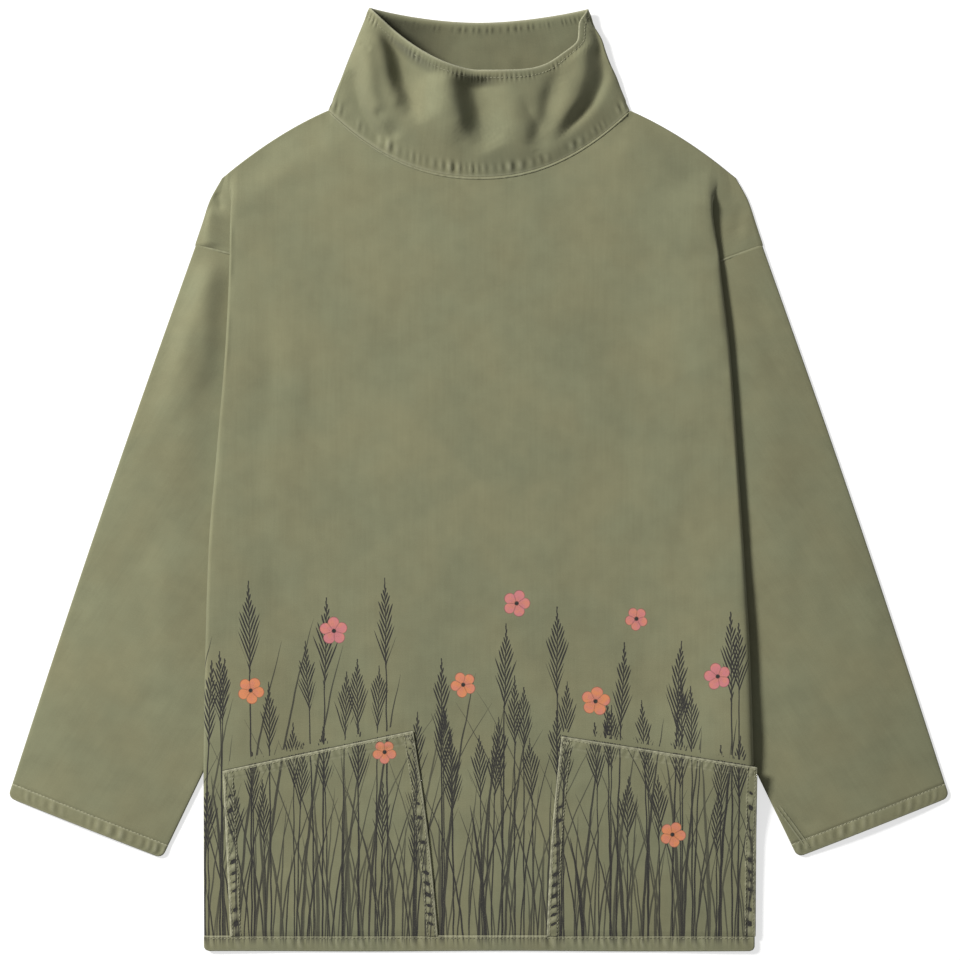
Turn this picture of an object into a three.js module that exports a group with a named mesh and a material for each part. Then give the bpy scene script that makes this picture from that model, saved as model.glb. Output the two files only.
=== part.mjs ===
// A fisherman's pullover smock in heavy cotton drill, laid out flat on a table with its front up.
//
// Sizes are in millimetres. +X points to the viewer's right, +Y from the hem to the collar, and +Z
// up from the table. The sides are named after the wearer: the right sleeve and pocket are at -X.
//
// From the table up there are the back, the two sleeves, each a flattened tube, and the front. The
// sleeves hang down beside the body, so a pleat runs down each side of the front: the cloth rolls
// over at the body's edge, tucks back under itself and comes out again as the shoulder cap, which
// the sleeve is sewn to. The collar is one tube that stands a little open.

import * as THREE from 'three';

// Cloth and the way its layers lie.
const CLOTH = 1.2; // thickness of one layer
const SEAM_GAP = 0.3; // between layers that lie on each other
const EDGE_GAP = 0.5; // between the edges of pieces that are sewn together
const LAYER = CLOTH + SEAM_GAP; // from the middle of one layer to the next
const FOLD_RADIUS = 0.9; // of a pressed fold, to the middle of the cloth
const BACK_MID = CLOTH / 2; // height of the middle of the back's cloth
const ON_BACK = BACK_MID + LAYER; // the same for a layer that lies on the back

// Body.
const HEM_Y = -427.7;
const SHOULDER_Y = 336; // where the collar, the front and the back meet
const NECK_HALF = 136.5; // half the width of the neck at the shoulders
const SHOULDER_BULGE = 4.4; // how far the shoulders curve out from a straight line
const FRONT_NECK_DIP = 60.6; // how far the neck seam hangs below the shoulders in front
const BACK_NECK_DIP = 17;
const NECK_CURVE = 2.2; // the neck seam's power curve, 2 being a parabola
const NECK_LIFT = 5; // rise of the front's neck edge at the centre, where the collar stands up
const FRONT_HEIGHT = 5.7; // middle of the front's cloth where it lies over the sleeves
const HEM_SLOPE = 0.0144; // the front comes down to the back towards the hem
const EDGE_BAND = 55; // width over which the front rises to its rolled edge
const TOP_BAND = 40; // length over which the front rises from the shoulder seam
const APEX_Y = 266; // the pleats begin here and are fully turned over at PLEAT_FULL_Y
const PLEAT_FULL_Y = 238;

// The front's two side edges, from the shoulder down: the distance of each from the centre, the
// radius of each roll, how far the cloth tucks back under it, and the height of what it lies on.
const SIDE_EDGES = [
  { y: 285, right: 222.0, left: 212.0, rightRoll: 1.0, leftRoll: 1.0, tuck: 3, under: 2.1 },
  { y: 264, right: 223.5, left: 210.5, rightRoll: 1.2, leftRoll: 1.4, tuck: 3, under: 3.2 },
  { y: 240, right: 225.8, left: 212.5, rightRoll: 2.2, leftRoll: 2.4, tuck: 8, under: 3.8 },
  { y: 206, right: 226.5, left: 218.0, rightRoll: 2.8, leftRoll: 3.2, tuck: 22, under: 3.9 },
  { y: 118, right: 230.5, left: 227.8, rightRoll: 3.0, leftRoll: 3.6, tuck: 30, under: 3.9 },
  { y: 25, right: 238.3, left: 234.5, rightRoll: 3.0, leftRoll: 3.9, tuck: 30, under: 3.9 },
  { y: -64, right: 245.6, left: 240.4, rightRoll: 3.0, leftRoll: 4.2, tuck: 30, under: 3.9 },
  { y: -157, right: 248.5, left: 245.8, rightRoll: 2.8, leftRoll: 4.4, tuck: 26, under: 3.9 },
  { y: -262, right: 250.2, left: 249.2, rightRoll: 1.8, leftRoll: 2.6, tuck: 12, under: 3.9 },
  { y: -330, right: 250.2, left: 250.0, rightRoll: 0.9, leftRoll: 0.9, tuck: 9, under: 1.9 },
  { y: -400, right: 250.0, left: 250.2, rightRoll: 0.9, leftRoll: 0.9, tuck: 9, under: 0.6 },
  { y: HEM_Y, right: 249.8, left: 250.3, rightRoll: 0.9, leftRoll: 0.9, tuck: 9, under: 0.6 },
];

// The outer edge of a shoulder cap, from the shoulder line down to the armhole seam.
const CAP_EDGE = [
  { along: 0, x: 234.5, y: 275.3 },
  { along: 1 / 3, x: 245.7, y: 253.4 },
  { along: 2 / 3, x: 253.4, y: 231.6 },
  { along: 1, x: 257.8, y: 213.5 },
];

// Where each armhole seam goes under the body's edge, and the sleeve's other corners.
const SIDES = {
  right: {
    sign: -1,
    seamY: 206,
    underarm: { x: 60, y: 130 },
    cuffOuter: { x: 428.3, y: -288 },
    cuffInner: { x: 288.0, y: -343.5 },
  },
  left: {
    sign: 1,
    seamY: 199,
    underarm: { x: 60, y: 130 },
    cuffOuter: { x: 427.7, y: -288 },
    cuffInner: { x: 289.4, y: -342.6 },
  },
};
const SLEEVE_LOFT = 3.2; // how far air lifts the sleeve's upper layer
const SLEEVE_BOW = 2.7; // how far its outer edge curves out, halfway down
const LIFT_START = 8; // a sleeve comes down from the back to the table
const LIFT_END = 55; // between these distances from the body's edge
const LOFT_BAND = 45; // and its loft grows over this distance

// Collar: a tube from the neck seam to the rim, wider below than above.
const COLLAR = {
  rimHalf: 98.7,
  rimY: 427,
  frontRimDip: 57,
  backRimDip: 11.5,
  rimCurveRight: 1.8, // the front rim falls evenly from the wearer's right
  rimCurveLeft: 4.6, // and stays level before it turns up at the left
  backRimCurve: 1.8,
  rimRise: 16.5, // of the front rim's middle above its sides
  rimSideRight: 15, // height of the side folds at the rim
  rimSideLeft: 8,
  bulge: 4, // of the front halfway up
  sideCurve: 0.9, // how squarely the front turns down into the side folds
  backCurve: 1, // how quickly the back half comes down to the table
};

// The collar's largest folds: where each runs across the front at the rim and at the neck seam, as a
// share of its half width, how deep and wide it is, and the stretch up the collar that it covers.
const COLLAR_FOLDS = [
  { rim: -0.98, neck: -0.62, depth: 5.5, width: 9, from: 0.02, to: 0.8 },
  { rim: -0.6, neck: -0.6, depth: 8.0, width: 13, from: 0.25, to: 1.1 },
  { rim: 0.04, neck: -0.04, depth: 7.0, width: 12, from: 0.15, to: 0.95 },
  { rim: 0.7, neck: 0.36, depth: 3.0, width: 10, from: 0.25, to: 0.9 },
  { rim: 1.02, neck: 0.54, depth: 9.5, width: 12, from: 0.12, to: 0.95 },
];

// Patch pockets, by their corners on the front. Each mouth slopes down to the side of the body.
const POCKETS = {
  right: {
    innerTop: { x: -60.1, y: -228.4 },
    outerTop: { x: -232.0, y: -264.4 },
    outerBottom: { x: -225.4, y: -413.6 },
    innerBottom: { x: -37.8, y: -413.6 },
  },
  left: {
    innerTop: { x: 75.5, y: -233.4 },
    outerTop: { x: 251.6, y: -260.7 },
    outerBottom: { x: 250.8, y: -413.6 },
    innerBottom: { x: 62.2, y: -413.6 },
  },
};
const POCKET_GAP = 0.45;
const POCKET_LOFT = 0.8; // at the middle of a pocket
const MOUTH_LOFT = 1.6; // at the middle of its mouth

// How finely the cloth is divided.
const FRONT_COLUMNS = 28;
const YOKE_ROWS = 7; // from the shoulders to the armhole seams
const BODY_ROWS = 28; // from there to the hem
const ROLL_STEPS = 5;
const TUCK_STEPS = 2;
const FOLD_STEPS = 4;
const CAP_STEPS = 3;
const SLEEVE_ROWS = 14;
const SLEEVE_STEPS = 9; // across each layer of a sleeve
const COLLAR_ROWS = 9;
const COLLAR_FRONT_STEPS = 30;
const COLLAR_BACK_STEPS = 14;
const POCKET_STEPS = 10;
const OUTLINE_STEPS = 24;
const SHOULDER_STEPS = 4;

// The finish: washed olive drill.
const OLIVE = new THREE.Color(0.22, 0.23, 0.13);

const { lerp, clamp, smoothstep } = THREE.MathUtils;

/** A smooth function through one column of a table. Its pieces are cubics that never overshoot. */
function through(rows, column, key = 'y') {
  const rise = rows.slice(1).map((row, i) => (row[column] - rows[i][column]) / (row[key] - rows[i][key]));
  const slope = rows.map((_, i) => {
    const before = rise[Math.max(i - 1, 0)];
    const after = rise[Math.min(i, rise.length - 1)];
    return before * after > 0 ? (2 * before * after) / (before + after) : 0;
  });
  const direction = Math.sign(rows[1][key] - rows[0][key]);
  return (at) => {
    let i = 0;
    while (i < rows.length - 2 && (at - rows[i + 1][key]) * direction > 0) i += 1;
    const span = rows[i + 1][key] - rows[i][key];
    const t = clamp((at - rows[i][key]) / span, 0, 1);
    return (
      rows[i][column] * (1 + 2 * t) * (1 - t) ** 2 +
      slope[i] * span * t * (1 - t) ** 2 +
      rows[i + 1][column] * t * t * (3 - 2 * t) -
      slope[i + 1] * span * t * t * (1 - t)
    );
  };
}

const edgeAt = { right: through(SIDE_EDGES, 'right'), left: through(SIDE_EDGES, 'left') };
const rollAt = { right: through(SIDE_EDGES, 'rightRoll'), left: through(SIDE_EDGES, 'leftRoll') };
const tuckAt = through(SIDE_EDGES, 'tuck');
const underAt = through(SIDE_EDGES, 'under');
const capX = through(CAP_EDGE, 'x', 'along');
const capY = through(CAP_EDGE, 'y', 'along');

/** Evenly spaced numbers from 0 to 1, both included. */
const shares = (steps) => Array.from({ length: steps + 1 }, (_, i) => i / steps);

/** The point of a table row on one side of the garment. */
const onSide = (sign, corner) => new THREE.Vector2(sign * corner.x, corner.y);

/** Height of the neck seam's line at x, for a seam that dips by `dip` between the shoulders. */
function neckSeam(x, dip) {
  return SHOULDER_Y - dip * (1 - Math.min(Math.abs(x) / NECK_HALF, 1) ** NECK_CURVE);
}

/** How much of a collar's full rise is left at a share of its half width, falling to 0 at the side. */
const towardsSide = (share) => Math.max(1 - share * share, 0) ** (COLLAR.sideCurve / 2);

/** Height above the table of the front's neck edge, which the collar's front starts from. */
const neckHeight = (x) => ON_BACK + NECK_LIFT * towardsSide(Math.min(Math.abs(x) / NECK_HALF, 1));

/** The body's upper edge at x: the neck seam, then the shoulders down to the pleats. */
function upperEdge(x) {
  const out = Math.abs(x);
  if (out <= NECK_HALF) return neckSeam(x, FRONT_NECK_DIP);
  const share = (out - NECK_HALF) / (CAP_EDGE[0].x - NECK_HALF);
  return lerp(SHOULDER_Y, CAP_EDGE[0].y, share) + SHOULDER_BULGE * 4 * share * (1 - share);
}

/** How far a side pleat is turned over, from 0 at its apex to 1. */
const pleatTurn = (y) => 1 - smoothstep(y, PLEAT_FULL_Y, APEX_Y);

/**
 * The line of cloth across one side pleat: steps that roll over, run back under, and fold out again.
 * Each point holds how far out and how far down it lies from where the roll begins.
 */
function pleatLine(side, y) {
  const turn = Math.PI * pleatTurn(y);
  const runs = [
    { steps: ROLL_STEPS, length: Math.PI * rollAt[side](y), turn },
    { steps: TUCK_STEPS, length: tuckAt(y), turn: 0 },
    { steps: FOLD_STEPS, length: Math.PI * FOLD_RADIUS, turn: -turn },
  ];
  const points = [];
  let [out, down, heading] = [0, 0, 0];
  for (const run of runs) {
    for (let i = 0; i < run.steps; i += 1) {
      const direction = heading + run.turn / run.steps / 2;
      out += (run.length / run.steps) * Math.cos(direction);
      down += (run.length / run.steps) * Math.sin(direction);
      heading += run.turn / run.steps;
      points.push({ out, down });
    }
  }
  return points;
}

/** Where the front's flat part ends and its roll begins, as a distance from the centre. */
function rollStart(side, y) {
  const turn = Math.PI * pleatTurn(y);
  return edgeAt[side](y) - CLOTH / 2 - rollAt[side](y) * Math.sin(Math.min(turn, Math.PI / 2));
}

/** Height of the front at the start of its roll: the layer below the pleat, plus the pleat's depth. */
function rollHeight(side, y) {
  return underAt(y) + pleatLine(side, y).at(-1).down;
}

/** Height of the middle of the front's cloth at a point of its flat part. */
function frontHeight(x, y) {
  const side = x < 0 ? 'right' : 'left';
  const middle = Math.min(FRONT_HEIGHT, ON_BACK + HEM_SLOPE * (y - HEM_Y));
  const atTop = Math.abs(x) < NECK_HALF ? neckHeight(x) : ON_BACK;
  const field = lerp(atTop, middle, smoothstep(upperEdge(x) - y, 0, TOP_BAND));
  const start = rollStart(side, y);
  return lerp(field, rollHeight(side, y), smoothstep(Math.abs(x), start - EDGE_BAND, start));
}

/** Height of the middle of a sleeve's lower layer: on the back beside the body, on the table beyond. */
function sleeveBase(side, x, y) {
  const beyond = Math.abs(x) - edgeAt[side](y);
  return BACK_MID + LAYER * (1 - smoothstep(beyond, LIFT_START, LIFT_END));
}

/** Height of the middle of a sleeve's upper layer, at a share of the way across the sleeve. */
function sleeveTop(side, x, y, across) {
  const beyond = Math.abs(x) - edgeAt[side](y);
  const loft = SLEEVE_LOFT * 4 * across * (1 - across) * smoothstep(beyond, 0, LOFT_BAND);
  return sleeveBase(side, x, y) + 2 * FOLD_RADIUS + loft;
}

/** The unit vector square to a wall at one of its points, from the points around it. */
function squareTo(at, j, i) {
  const here = at(j, i);
  const across = new THREE.Vector3().subVectors(at(j, i + 1) ?? here, at(j, i - 1) ?? here);
  const along = new THREE.Vector3().subVectors(at(j + 1, i) ?? here, at(j - 1, i) ?? here);
  return across.cross(along).normalize();
}

/**
 * A closed solid of even thickness around a grid of points. A point may be null where the cloth
 * stops short of the grid, and the last column meets the first again when the grid goes around.
 */
function wall(rows, around = false) {
  const width = rows[0].length;
  const column = (i) => (around ? (i + width) % width : i);
  const at = (j, i) => rows[j]?.[column(i)] ?? null;
  const positions = [];
  const vertex = new Map();
  rows.forEach((row, j) =>
    row.forEach((point, i) => {
      if (!point) return;
      const offset = squareTo(at, j, i).multiplyScalar(CLOTH / 2);
      vertex.set(j * width + i, positions.length / 3);
      positions.push(...point.clone().add(offset), ...point.clone().sub(offset));
    }),
  );

  const indices = [];
  const quad = (a, b, c, d) => indices.push(a, b, c, a, c, d);
  const borders = new Map();
  for (let j = 0; j < rows.length - 1; j += 1) {
    for (let i = 0; i < (around ? width : width - 1); i += 1) {
      const corners = [
        [j, i],
        [j, i + 1],
        [j + 1, i + 1],
        [j + 1, i],
      ];
      if (corners.some(([r, c]) => !at(r, c))) continue;
      const [a, b, c, d] = corners.map(([r, k]) => vertex.get(r * width + column(k)));
      quad(a, b, c, d);
      quad(d + 1, c + 1, b + 1, a + 1);
      for (const [from, to] of [[a, b], [b, c], [c, d], [d, a]]) {
        if (!borders.delete(`${to} ${from}`)) borders.set(`${from} ${to}`, [from, to]);
      }
    }
  }
  for (const [from, to] of borders.values()) quad(to, from, from + 1, to + 1);

  const geometry = new THREE.BufferGeometry();
  geometry.setAttribute('position', new THREE.Float32BufferAttribute(positions, 3));
  geometry.setIndex(indices);
  geometry.computeVertexNormals();
  return geometry;
}

/** One side of a row of the front beyond its flat part: the pleat and, above the seam, the cap. */
function sideOfRow(side, j, y) {
  const { sign } = SIDES[side];
  const start = rollStart(side, y);
  const top = rollHeight(side, y);
  const line = pleatLine(side, y);
  const hasCap = j <= YOKE_ROWS;
  const shoulderShare = Math.max(1 - j / YOKE_ROWS, 0);
  const pleat = line.map(({ out, down }, i) => {
    const hidden = !hasCap && i >= ROLL_STEPS + TUCK_STEPS;
    const fall = (upperEdge(start + out) - upperEdge(start)) * shoulderShare;
    return hidden ? null : new THREE.Vector3(sign * (start + out), y + fall, top - down);
  });
  const cap = shares(CAP_STEPS).slice(1).map((share) => {
    if (!hasCap) return null;
    const from = pleat.at(-1);
    const along = j / YOKE_ROWS;
    const edge = onSide(sign, { x: capX(along), y: capY(along) });
    const x = lerp(from.x, edge.x, share);
    const bodyEdge = edgeAt[side](SIDES[side].seamY);
    const beyond = Math.max((x - sign * bodyEdge) / (edge.x - sign * bodyEdge), 0);
    const capRowY = lerp(from.y, edge.y, lerp(share, beyond, along));
    const seamHeight = sleeveTop(side, x, SIDES[side].seamY, 0);
    const height = lerp(ON_BACK, seamHeight, along * (1 - share ** 3));
    return new THREE.Vector3(x, capRowY, lerp(from.z, height, Math.min(2 * share, 1)));
  });
  return [...pleat, ...cap];
}

/** The front: its flat part from side to side, with a pleat and a shoulder cap at each end. */
function front() {
  const rowAt = (j, share) => {
    const side = share < 0 ? 'right' : 'left';
    const seamY = lerp(SIDES.right.seamY, SIDES.left.seamY, (share + 1) / 2);
    if (j > YOKE_ROWS) {
      const y = lerp(seamY, HEM_Y, (j - YOKE_ROWS) / BODY_ROWS);
      return { x: share * rollStart(side, y), y };
    }
    const x = share * rollStart(side, lerp(upperEdge(share * edgeAt[side](APEX_Y)), seamY, j / YOKE_ROWS));
    return { x, y: lerp(upperEdge(x) - EDGE_GAP / 2, seamY, j / YOKE_ROWS) };
  };
  const rows = shares(YOKE_ROWS + BODY_ROWS).map((_, j) => {
    const flat = shares(FRONT_COLUMNS).map((share) => {
      const { x, y } = rowAt(j, 2 * share - 1);
      return new THREE.Vector3(x, y, frontHeight(x, y));
    });
    const [first, last] = [flat[0], flat.at(-1)];
    return [...sideOfRow('right', j, first.y).reverse(), ...flat, ...sideOfRow('left', j, last.y)];
  });
  return wall(rows);
}

/** The back: a flat piece with the same outline as the front, lying on the table. */
function back() {
  const edges = (side) => {
    const { sign, seamY } = SIDES[side];
    const shoulder = shares(SHOULDER_STEPS).slice(1, -1).map((share) => {
      const x = lerp(NECK_HALF, CAP_EDGE[0].x, share);
      return onSide(sign, { x, y: upperEdge(x) });
    });
    const cap = shares(YOKE_ROWS).map((along) => onSide(sign, { x: capX(along), y: capY(along) }));
    const flank = shares(BODY_ROWS).slice(1).map((share) => {
      const y = lerp(seamY, HEM_Y, share);
      return onSide(sign, { x: edgeAt[side](y) - 1, y });
    });
    const corner = onSide(sign, { x: edgeAt[side](seamY), y: seamY });
    return [...shoulder, ...cap, corner, ...flank];
  };
  const neck = shares(OUTLINE_STEPS).map((share) => {
    const x = lerp(-NECK_HALF, NECK_HALF, share);
    return new THREE.Vector2(x, neckSeam(x, BACK_NECK_DIP) - EDGE_GAP / 2);
  });
  const outline = new THREE.Shape([...neck, ...edges('left'), ...edges('right').reverse()]);
  return new THREE.ExtrudeGeometry(outline, { depth: CLOTH, bevelEnabled: false });
}

/** A sleeve: a flattened tube from the armhole seam to the cuff, open at both ends. */
function sleeve(side) {
  const { sign, seamY, underarm, cuffOuter, cuffInner } = SIDES[side];
  const corners = [
    onSide(sign, CAP_EDGE.at(-1)),
    onSide(sign, { x: edgeAt[side](seamY), y: seamY }),
    onSide(sign, underarm),
  ].map((corner) => corner.setY(corner.y - EDGE_GAP));
  const visible = corners[0].distanceTo(corners[1]);
  const bend = visible / (visible + corners[1].distanceTo(corners[2]));
  const seamPoint = (across) =>
    across < bend
      ? corners[0].clone().lerp(corners[1], across / bend)
      : corners[1].clone().lerp(corners[2], (across - bend) / (1 - bend));
  const cuff = [onSide(sign, cuffOuter), onSide(sign, cuffInner)];
  const inset = FOLD_RADIUS + CLOTH / 2;

  const ring = (along) => {
    const straight = (across) => seamPoint(across).lerp(cuff[0].clone().lerp(cuff[1], across), along);
    const bow = SLEEVE_BOW * Math.sin(Math.PI * along);
    const point = (across) => straight(across).add(new THREE.Vector2(sign * bow * (1 - across), 0));
    const [outer, inner] = [point(0), point(1)];
    const width = outer.distanceTo(inner);
    const inward = inner.clone().sub(outer).divideScalar(width);
    const layer = (height) =>
      shares(SLEEVE_STEPS).map((share) => {
        const across = lerp(inset / width, 1 - inset / width, share);
        const { x, y } = point(across);
        return new THREE.Vector3(x, y, height(side, x, y, across));
      });
    const bottom = layer(sleeveBase);
    const top = layer(sleeveTop);
    const fold = (low, high, way) =>
      shares(FOLD_STEPS).slice(1, -1).map((share) => {
        const angle = Math.PI * (share - 0.5);
        const reach = way * FOLD_RADIUS * Math.cos(angle);
        const middle = low.clone().lerp(high, 0.5);
        const rise = ((high.z - low.z) / 2) * Math.sin(angle);
        return middle.add(new THREE.Vector3(inward.x * reach, inward.y * reach, rise));
      });
    return [
      ...bottom,
      ...fold(bottom.at(-1), top.at(-1), 1),
      ...top.reverse(),
      ...fold(bottom[0], top.at(-1), -1).reverse(),
    ];
  };
  return wall(shares(SLEEVE_ROWS).map(ring), true);
}

/** How far the collar's folds press its front in, at a distance from the centre and a height. */
function collarFolds(x, half, level) {
  return COLLAR_FOLDS.reduce((sum, fold) => {
    const line = half * lerp(fold.neck, fold.rim, level);
    const fade = smoothstep(level, fold.from, fold.from + 0.25) * (1 - smoothstep(level, fold.to - 0.25, fold.to));
    return sum + fold.depth * fade * Math.exp(-(((x - line) / fold.width) ** 2));
  }, 0);
}

/** The collar: a tube around the neck whose back lies on the table while its front stands up. */
function collar() {
  const ring = (level) => {
    const half = lerp(NECK_HALF, COLLAR.rimHalf, level);
    const sideY = lerp(SHOULDER_Y + EDGE_GAP / 2, COLLAR.rimY, level);
    const sideHeight = (x) =>
      lerp(ON_BACK, lerp(COLLAR.rimSideRight, COLLAR.rimSideLeft, smoothstep(x / half, -1, 1)), level);
    const rise = lerp(NECK_LIFT, COLLAR.rimRise, level) + COLLAR.bulge * Math.sin(Math.PI * level);
    const sag = (x, dip, curve) => sideY - dip * (1 - Math.abs(x / half) ** curve);
    const frontPoint = (angle) => {
      const x = half * Math.sin(angle);
      const curve = lerp(NECK_CURVE, x < 0 ? COLLAR.rimCurveRight : COLLAR.rimCurveLeft, level);
      const height = rise * towardsSide(x / half);
      const pressed = Math.min(collarFolds(x, half, level), 0.6 * height);
      return new THREE.Vector3(
        x,
        sag(x, lerp(FRONT_NECK_DIP, COLLAR.frontRimDip, level), curve),
        sideHeight(x) + height - pressed,
      );
    };
    const backPoint = (angle) => {
      const x = half * Math.sin(angle);
      const down = Math.cos(angle) ** COLLAR.backCurve;
      const curve = lerp(NECK_CURVE, COLLAR.backRimCurve, level);
      return new THREE.Vector3(
        x,
        sag(x, lerp(BACK_NECK_DIP, COLLAR.backRimDip, level), curve),
        lerp(sideHeight(x), BACK_MID, down),
      );
    };
    const turn = (share) => Math.PI * (share - 0.5);
    return [
      ...shares(COLLAR_FRONT_STEPS).map((share) => frontPoint(turn(share))),
      ...shares(COLLAR_BACK_STEPS).slice(1, -1).map((share) => backPoint(turn(1 - share))),
    ];
  };
  return wall(shares(COLLAR_ROWS).map(ring), true);
}

/** A patch pocket, made from the points of the front under it, moved out. */
function pocket(side) {
  const { innerTop, outerTop, outerBottom, innerBottom } = POCKETS[side];
  const corner = ({ x, y }) => new THREE.Vector2(x, y);
  const rows = shares(POCKET_STEPS).map((down) =>
    shares(POCKET_STEPS).map((out) => {
      const upper = corner(innerTop).lerp(corner(outerTop), out);
      const lower = corner(innerBottom).lerp(corner(outerBottom), out);
      const { x, y } = upper.lerp(lower, down);
      const loft = Math.sin(Math.PI * out) * (POCKET_LOFT * Math.sin(Math.PI * down) + MOUTH_LOFT * (1 - down) ** 6);
      return new THREE.Vector3(x, y, frontHeight(x, y) + CLOTH + POCKET_GAP + loft);
    }),
  );
  return wall(side === 'right' ? rows.map((row) => row.reverse()) : rows);
}

/** A named piece of the garment, with its faces turned outwards. */
function piece(name, geometry) {
  const position = geometry.getAttribute('position');
  const index = geometry.getIndex();
  if (index) {
    const corner = (i) => new THREE.Vector3().fromBufferAttribute(position, index.getX(i));
    let volume = 0;
    for (let i = 0; i < index.count; i += 3) volume += corner(i).dot(corner(i + 1).cross(corner(i + 2)));
    if (volume < 0) index.array.reverse();
  }
  const cloth = new THREE.MeshStandardMaterial({ color: OLIVE, roughness: 0.95, metalness: 0 });
  const mesh = new THREE.Mesh(geometry, cloth);
  mesh.name = name;
  return mesh;
}

const smock = new THREE.Group();
smock.add(
  piece('back', back()),
  piece('sleeve_right', sleeve('right')),
  piece('sleeve_left', sleeve('left')),
  piece('front', front()),
  piece('collar', collar()),
  piece('pocket_right', pocket('right')),
  piece('pocket_left', pocket('left')),
);

// The origin lies on the table under the middle of the whole garment.
const middle = new THREE.Box3().setFromObject(smock).getCenter(new THREE.Vector3());
smock.position.set(-middle.x, -middle.y, 0);
smock.updateMatrixWorld(true);

export default smock;
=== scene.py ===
"""A fisherman's pullover smock in washed olive drill, laid out flat with its front up.

Lengths are in millimetres until a mesh is made, and then in metres. +X points to the viewer's right,
+Y from the hem to the collar and +Z up. The sides are named after the wearer, so the right sleeve and
pocket lie at -X. Every piece of cloth is a grid of points through the middle of the cloth, which is
then given its thickness and a rounded rim.
"""

from __future__ import annotations

import logging
import math
from dataclasses import dataclass, field
from enum import Enum

import bpy
import numpy as np
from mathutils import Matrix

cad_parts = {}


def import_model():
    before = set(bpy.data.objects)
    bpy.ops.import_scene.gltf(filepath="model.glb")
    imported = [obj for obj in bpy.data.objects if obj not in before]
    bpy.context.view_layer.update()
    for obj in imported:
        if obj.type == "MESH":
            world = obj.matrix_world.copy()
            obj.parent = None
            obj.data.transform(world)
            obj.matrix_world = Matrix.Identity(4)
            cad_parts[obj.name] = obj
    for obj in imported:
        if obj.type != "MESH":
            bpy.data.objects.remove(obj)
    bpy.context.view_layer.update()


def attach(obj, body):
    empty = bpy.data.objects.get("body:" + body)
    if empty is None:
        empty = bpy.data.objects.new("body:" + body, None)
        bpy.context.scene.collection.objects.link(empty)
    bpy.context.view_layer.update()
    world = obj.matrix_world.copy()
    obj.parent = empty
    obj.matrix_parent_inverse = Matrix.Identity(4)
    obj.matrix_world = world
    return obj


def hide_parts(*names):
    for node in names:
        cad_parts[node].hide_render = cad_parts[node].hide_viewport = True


log = logging.getLogger("smock")

MM = 0.001
MM_PER_M = 1000.0
DRAWING_ORIGIN = (0.30, 0.2335)  # where the drawing's own origin lies in the frame
PHOTO_PIXEL = 0.91  # width of one pixel of the view on the cloth
VIEW_PIXELS = 960

CLOTH = 1.2
SEAM_GAP = 0.3
EDGE_GAP = 0.5
LAYER = CLOTH + SEAM_GAP
FOLD_RADIUS = 0.9
BACK_MID = CLOTH / 2
ON_BACK = BACK_MID + LAYER
EDGE_STEP = 0.7  # the first row of points inside an edge, which keeps its rounding narrow
GOLDEN_ANGLE = 2.399963
SQUARE = ((-1, -1), (1, -1), (1, 1), (-1, 1))


class Side(Enum):
    """The wearer's two sides, with the sign of X on each."""

    RIGHT = -1
    LEFT = 1

    @property
    def word(self) -> str:
        """The side's name, as node names have it."""
        return self.name.lower()

    @property
    def last(self) -> int:
        """The number of the side's last column in a grid that runs from right to left."""
        return 0 if self is Side.RIGHT else -1


def smooth(at: np.ndarray, low: float, high: float) -> np.ndarray:
    """A soft step from 0 at low to 1 at high: 3t squared less 2t cubed."""
    t = np.clip((np.asarray(at, float) - low) / (np.asarray(high) - low), 0, 1)
    return t * t * (3 - 2 * t)


def mix(a: np.ndarray, b: np.ndarray, share: np.ndarray) -> np.ndarray:
    """The straight blend from a to b."""
    return a + (b - a) * share


def through(at: np.ndarray, places: list[float], values: list[float]) -> np.ndarray:
    """A smooth curve through a few points, in cubic pieces that never overshoot.

    Each point's slope is the harmonic mean of the slopes beside it, or 0 at a turn.

    Args:
        at: where the curve is wanted.
        places: where the points lie, in any order.
        values: the curve's value at each.

    Returns:
        The curve's values, shaped as at.
    """
    order = np.argsort(places)
    x, v = np.asarray(places, float)[order], np.asarray(values, float)[order]
    rise = np.diff(v) / np.diff(x)
    before, after = np.concatenate([rise[:1], rise]), np.concatenate([rise, rise[-1:]])
    both = np.where(before + after == 0, 1, before + after)
    slope = np.where(before * after > 0, 2 * before * after / both, 0)
    at = np.asarray(at, float)
    i = np.clip(np.searchsorted(x, at) - 1, 0, len(x) - 2)
    span = x[i + 1] - x[i]
    t = np.clip((at - x[i]) / span, 0, 1)
    start = v[i] * (1 + 2 * t) + slope[i] * span * t
    end = v[i + 1] * (3 - 2 * t) - slope[i + 1] * span * (1 - t)
    return start * (1 - t) ** 2 + end * t**2


def peak(at: np.ndarray, middle: float, width: float) -> np.ndarray:
    """A bell: e to the minus square of the distance from the middle over the width."""
    return np.exp(-(((at - middle) / width) ** 2))


def corner_inset(up: np.ndarray, radius: float) -> np.ndarray:
    """How far a round corner takes its side in, at a height above its end: a quarter circle."""
    rest = radius - np.clip(up, 0, radius)
    return radius - np.sqrt(radius**2 - rest**2)


def shares(steps: int) -> np.ndarray:
    """Evenly spaced numbers from 0 to 1, both included."""
    return np.linspace(0, 1, steps + 1)


def rimmed(steps: int, length: float) -> np.ndarray:
    """Even shares of a length, with one more close to each end."""
    near = EDGE_STEP / length
    return np.concatenate([[0, near], np.linspace(0, 1, steps + 1)[1:-1], [1 - near, 1]])


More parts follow.
